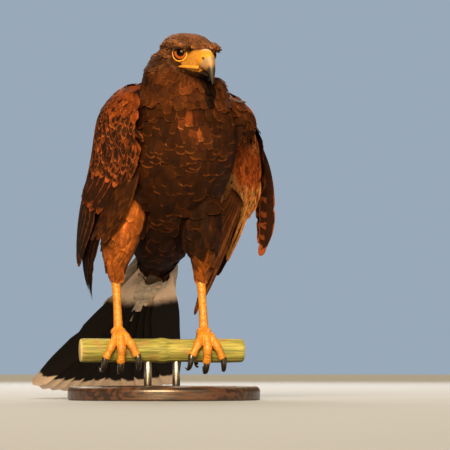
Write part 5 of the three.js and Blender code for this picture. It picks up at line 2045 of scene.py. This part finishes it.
def build_flank(paints, rng, skin_map):
    """Long soft feathers over the outer side of the right thigh."""
    sheet = Sheet(FLANK_EDGES, -1)
    tongue = Feathers()
    for s0, s1, lift in ((0.5, 1.0, 0.0), (0.34, 0.86, 0.6), (0.18, 0.7, 1.2), (0.02, 0.5, 1.8)):
        row_of(tongue, sheet, {
            "count": 11, "s0": s0, "s1": s1, "v0": (0.04, 0.96), "v1": (0.05, 0.95), "half": 4.4,
            "lift": lift - 0.8, "lift1": lift + 0.8, "tip": 0.1, "arc": 0.09, "wander": 0.04,
        }, rng, BREAST * 0.75, BREAST_EDGE * 0.6, rows=12)
    dress(tongue.piece("flank_right", paints["thigh_coat"], skin_map), "plumage_brown")


def build_head(paints):
    for side, hand in HANDS.items():
        ball = eye_piece(side, paints["eye"])
        dress(ball, "eye", f"eye_{side}")
        loop, high = lid_loop(hand, LID_ANGLE, 0.3)
        lid = ring_piece(f"eyelid_{side}", loop, lerp(0.85, 0.5, (high + 1) / 2), 12, paints["lid"], 0.8)
        # how high each point of the lid lies, for its painted shade under the brow
        spread_value(lid.data, "upper", np.repeat((high + 1) / 2, 12))
        dress(lid, "yellow_skin")
        loop, high = lid_loop(hand, LID_ANGLE - 0.11, 0.1)
        rim = ring_piece(f"lid_rim_{side}", loop, np.full(len(loop), 0.42), 8, paints["lid_rim"], 0.9)
        dress(rim, "claw")
    cere, horn = bill_pieces(paints["cere"], paints["horn"])
    dress(cere, "yellow_skin", "cere")
    dress(horn, "bill_horn", "bill_upper")
    lower = lower_bill_piece(paints["lower"])
    dress(lower, "bill_horn", "bill_lower")
    for piece in gape_pieces(paints["cere"]):
        dress(piece, "yellow_skin")


def build_legs(paints):
    for side in HANDS:
        leg, claws = foot_pieces(side, paints["leg"], paints["claw"])
        dress(leg, "yellow_skin", f"shank_{side}", f"foot_{side}")
        for claw, toe in claws:
            dress(claw, "claw", f"claw_{side}_{toe}")


def build_stand(paints):
    dress(stem_piece(paints["stem"]), "stem", "perch")
    dress(base_piece(paints["wood"]), "stained_wood", "stand_base")
    for i, x in enumerate(ROD_PLACES):
        dress(rod_piece(i + 1, x, paints["steel"]), "steel", f"stand_rod_{i + 1}")


def seen_from(azimuth, elevation):
    a, e = math.radians(azimuth), math.radians(elevation)
    return Vector((math.sin(a) * math.cos(e), -math.cos(a) * math.cos(e), math.sin(e)))


def placed(data, location, way):
    """A lamp or camera set at a place, looking back along a way."""
    made = bpy.data.objects.new(data.name, data)
    made.location = location
    made.rotation_mode = "QUATERNION"
    made.rotation_quaternion = (-way).to_track_quat("-Z", "Y")
    bpy.context.scene.collection.objects.link(made)
    return made


# The floor: its level under the base, its radii and its sides
FLOOR_LEVEL = -0.4
FLOOR_RADII = (20, 9000)
FLOOR_SIDES = 96
# What the camera sees behind the bird, and what lights it from all round
BACKDROP = linear(153, 169, 185)
AROUND = linear(176, 150, 116)
AROUND_STRENGTH = 0.45
# Lamps: energy, colour, azimuth and elevation in degrees, and the size of a disk (none for the key)
LAMPS = {
    "key": (8.8, (1.0, 0.7, 0.36), -17, 25, None),
    "fill": (16, (1.0, 0.76, 0.5), 30, 12, 1.6),
    "behind": (90, (1.0, 0.86, 0.7), 172, 38, 2.6),
}
KEY_ANGLE = 32
LIT_POINT = (0.015, 0.0, 0.26)
LAMP_DISTANCE = 3.0
CLIP_NEAR, CLIP_FAR = 0.1, 50


def floor_piece():
    rings = turned_rings([(r, FLOOR_LEVEL) for r in FLOOR_RADII], FLOOR_SIDES)
    verts = np.vstack([rings.reshape(-1, 3), [[0, 0, FLOOR_LEVEL]]])
    middle = 2 * FLOOR_SIDES
    faces = loft_faces(2, FLOOR_SIDES) + [[middle, s, (s + 1) % FLOOR_SIDES] for s in range(FLOOR_SIDES)]
    floor = new_object("floor", verts, faces)
    paint = Paint("pale floor", 0.8)
    paint.colour(paint.mix(paint.noise(3.0), linear(146, 160, 184), linear(150, 164, 188)))
    floor.data.materials.append(paint.material)
    return floor


def build_world():
    world = bpy.data.worlds.new("studio")
    bpy.context.scene.world = world
    world.use_nodes = True
    tree = world.node_tree
    back = tree.nodes["Background"]
    back.inputs["Color"].default_value = (*BACKDROP, 1)
    around = node(tree, "ShaderNodeBackground", {"Color": (*AROUND, 1), "Strength": AROUND_STRENGTH})
    seen = node(tree, "ShaderNodeLightPath").outputs["Is Camera Ray"]
    both = node(tree, "ShaderNodeMixShader", {0: seen, 1: around.outputs[0], 2: back.outputs[0]})
    tree.links.new(both.outputs[0], tree.nodes["World Output"].inputs["Surface"])


def build_lamps():
    for name, (energy, colour, azimuth, elevation, size) in LAMPS.items():
        lamp = bpy.data.lights.new(name, "AREA" if size else "SUN")
        if size:
            lamp.shape = "DISK"
            lamp.size = size
        else:
            lamp.angle = math.radians(KEY_ANGLE)
        lamp.energy = energy
        lamp.color = colour
        way = seen_from(azimuth, elevation)
        placed(lamp, Vector(LIT_POINT) + way * LAMP_DISTANCE, way).visible_camera = False


def build_stage():
    """A plain pale floor, soft studio light and the camera."""
    floor_piece()
    build_world()
    build_lamps()
    data = bpy.data.cameras.new("camera")
    data.sensor_width = SENSOR
    data.lens = SENSOR / 2 / (VIEW_WIDTH / 2 / VIEW_DISTANCE)
    data.clip_start = CLIP_NEAR
    data.clip_end = CLIP_FAR
    way = seen_from(VIEW_AZIMUTH, VIEW_ELEVATION)
    bpy.context.scene.camera = placed(data, Vector(VIEW_TARGET) * MM + way * VIEW_DISTANCE * MM, way)
    bpy.context.scene.view_settings.view_transform = "Standard"


def main():
    rng = np.random.default_rng(SEED)
    paints = {
        "skin": skin_paint(), "cere": cere_paint(), "horn": horn_paint(),
        "coat": feather_paint("body feathers", edge_from=0.84, tip_from=0.92, shaft=0.03),
        "neck_coat": feather_paint("neck feathers", barbs=22.0, slant=6.0, edge_from=0.6, tip_from=0.9),
        "head_coat": feather_paint("head feathers", barbs=20.0, slant=5.0, edge_from=0.4, tip_from=0.86),
        "thigh_coat": feather_paint("thigh feathers", barbs=26.0, slant=7.0, edge_from=0.5, tip_from=0.8),
        "lower": lower_horn_paint(), "eye": eye_paint(),
        "lid": lid_paint("eyelid", linear(246, 178, 44), linear(230, 140, 30), 0.4),
        "lid_rim": lid_paint("lid rim", linear(20, 13, 9), linear(30, 18, 11), 0.5),
        "leg": leg_paint(), "claw": claw_paint(),
        "stem": stem_paint(), "wood": wood_paint(), "steel": steel_paint(),
        "flight": feather_paint("flight feathers", barbs=80.0, slant=12.0, edge_from=0.8, tip_from=0.93),
        "covert": feather_paint(
            "wing coverts", barbs=30.0, slant=6.0, edge_from=0.34, tip_from=0.88, shaft=0.08
        ),
        "tail": tail_paint(),
    }
    build_stage()
    skin_map = build_body(paints, rng)
    build_wings(paints, rng, skin_map)
    build_flank(paints, rng, skin_map)
    dress(tail_piece(paints["tail"], rng), "flight_feathers", "tail")
    for side in (1, -1):
        dress(cover_of_tail(paints["coat"], rng, side, skin_map), "plumage_brown")
    build_head(paints)
    build_legs(paints)
    build_stand(paints)


main()
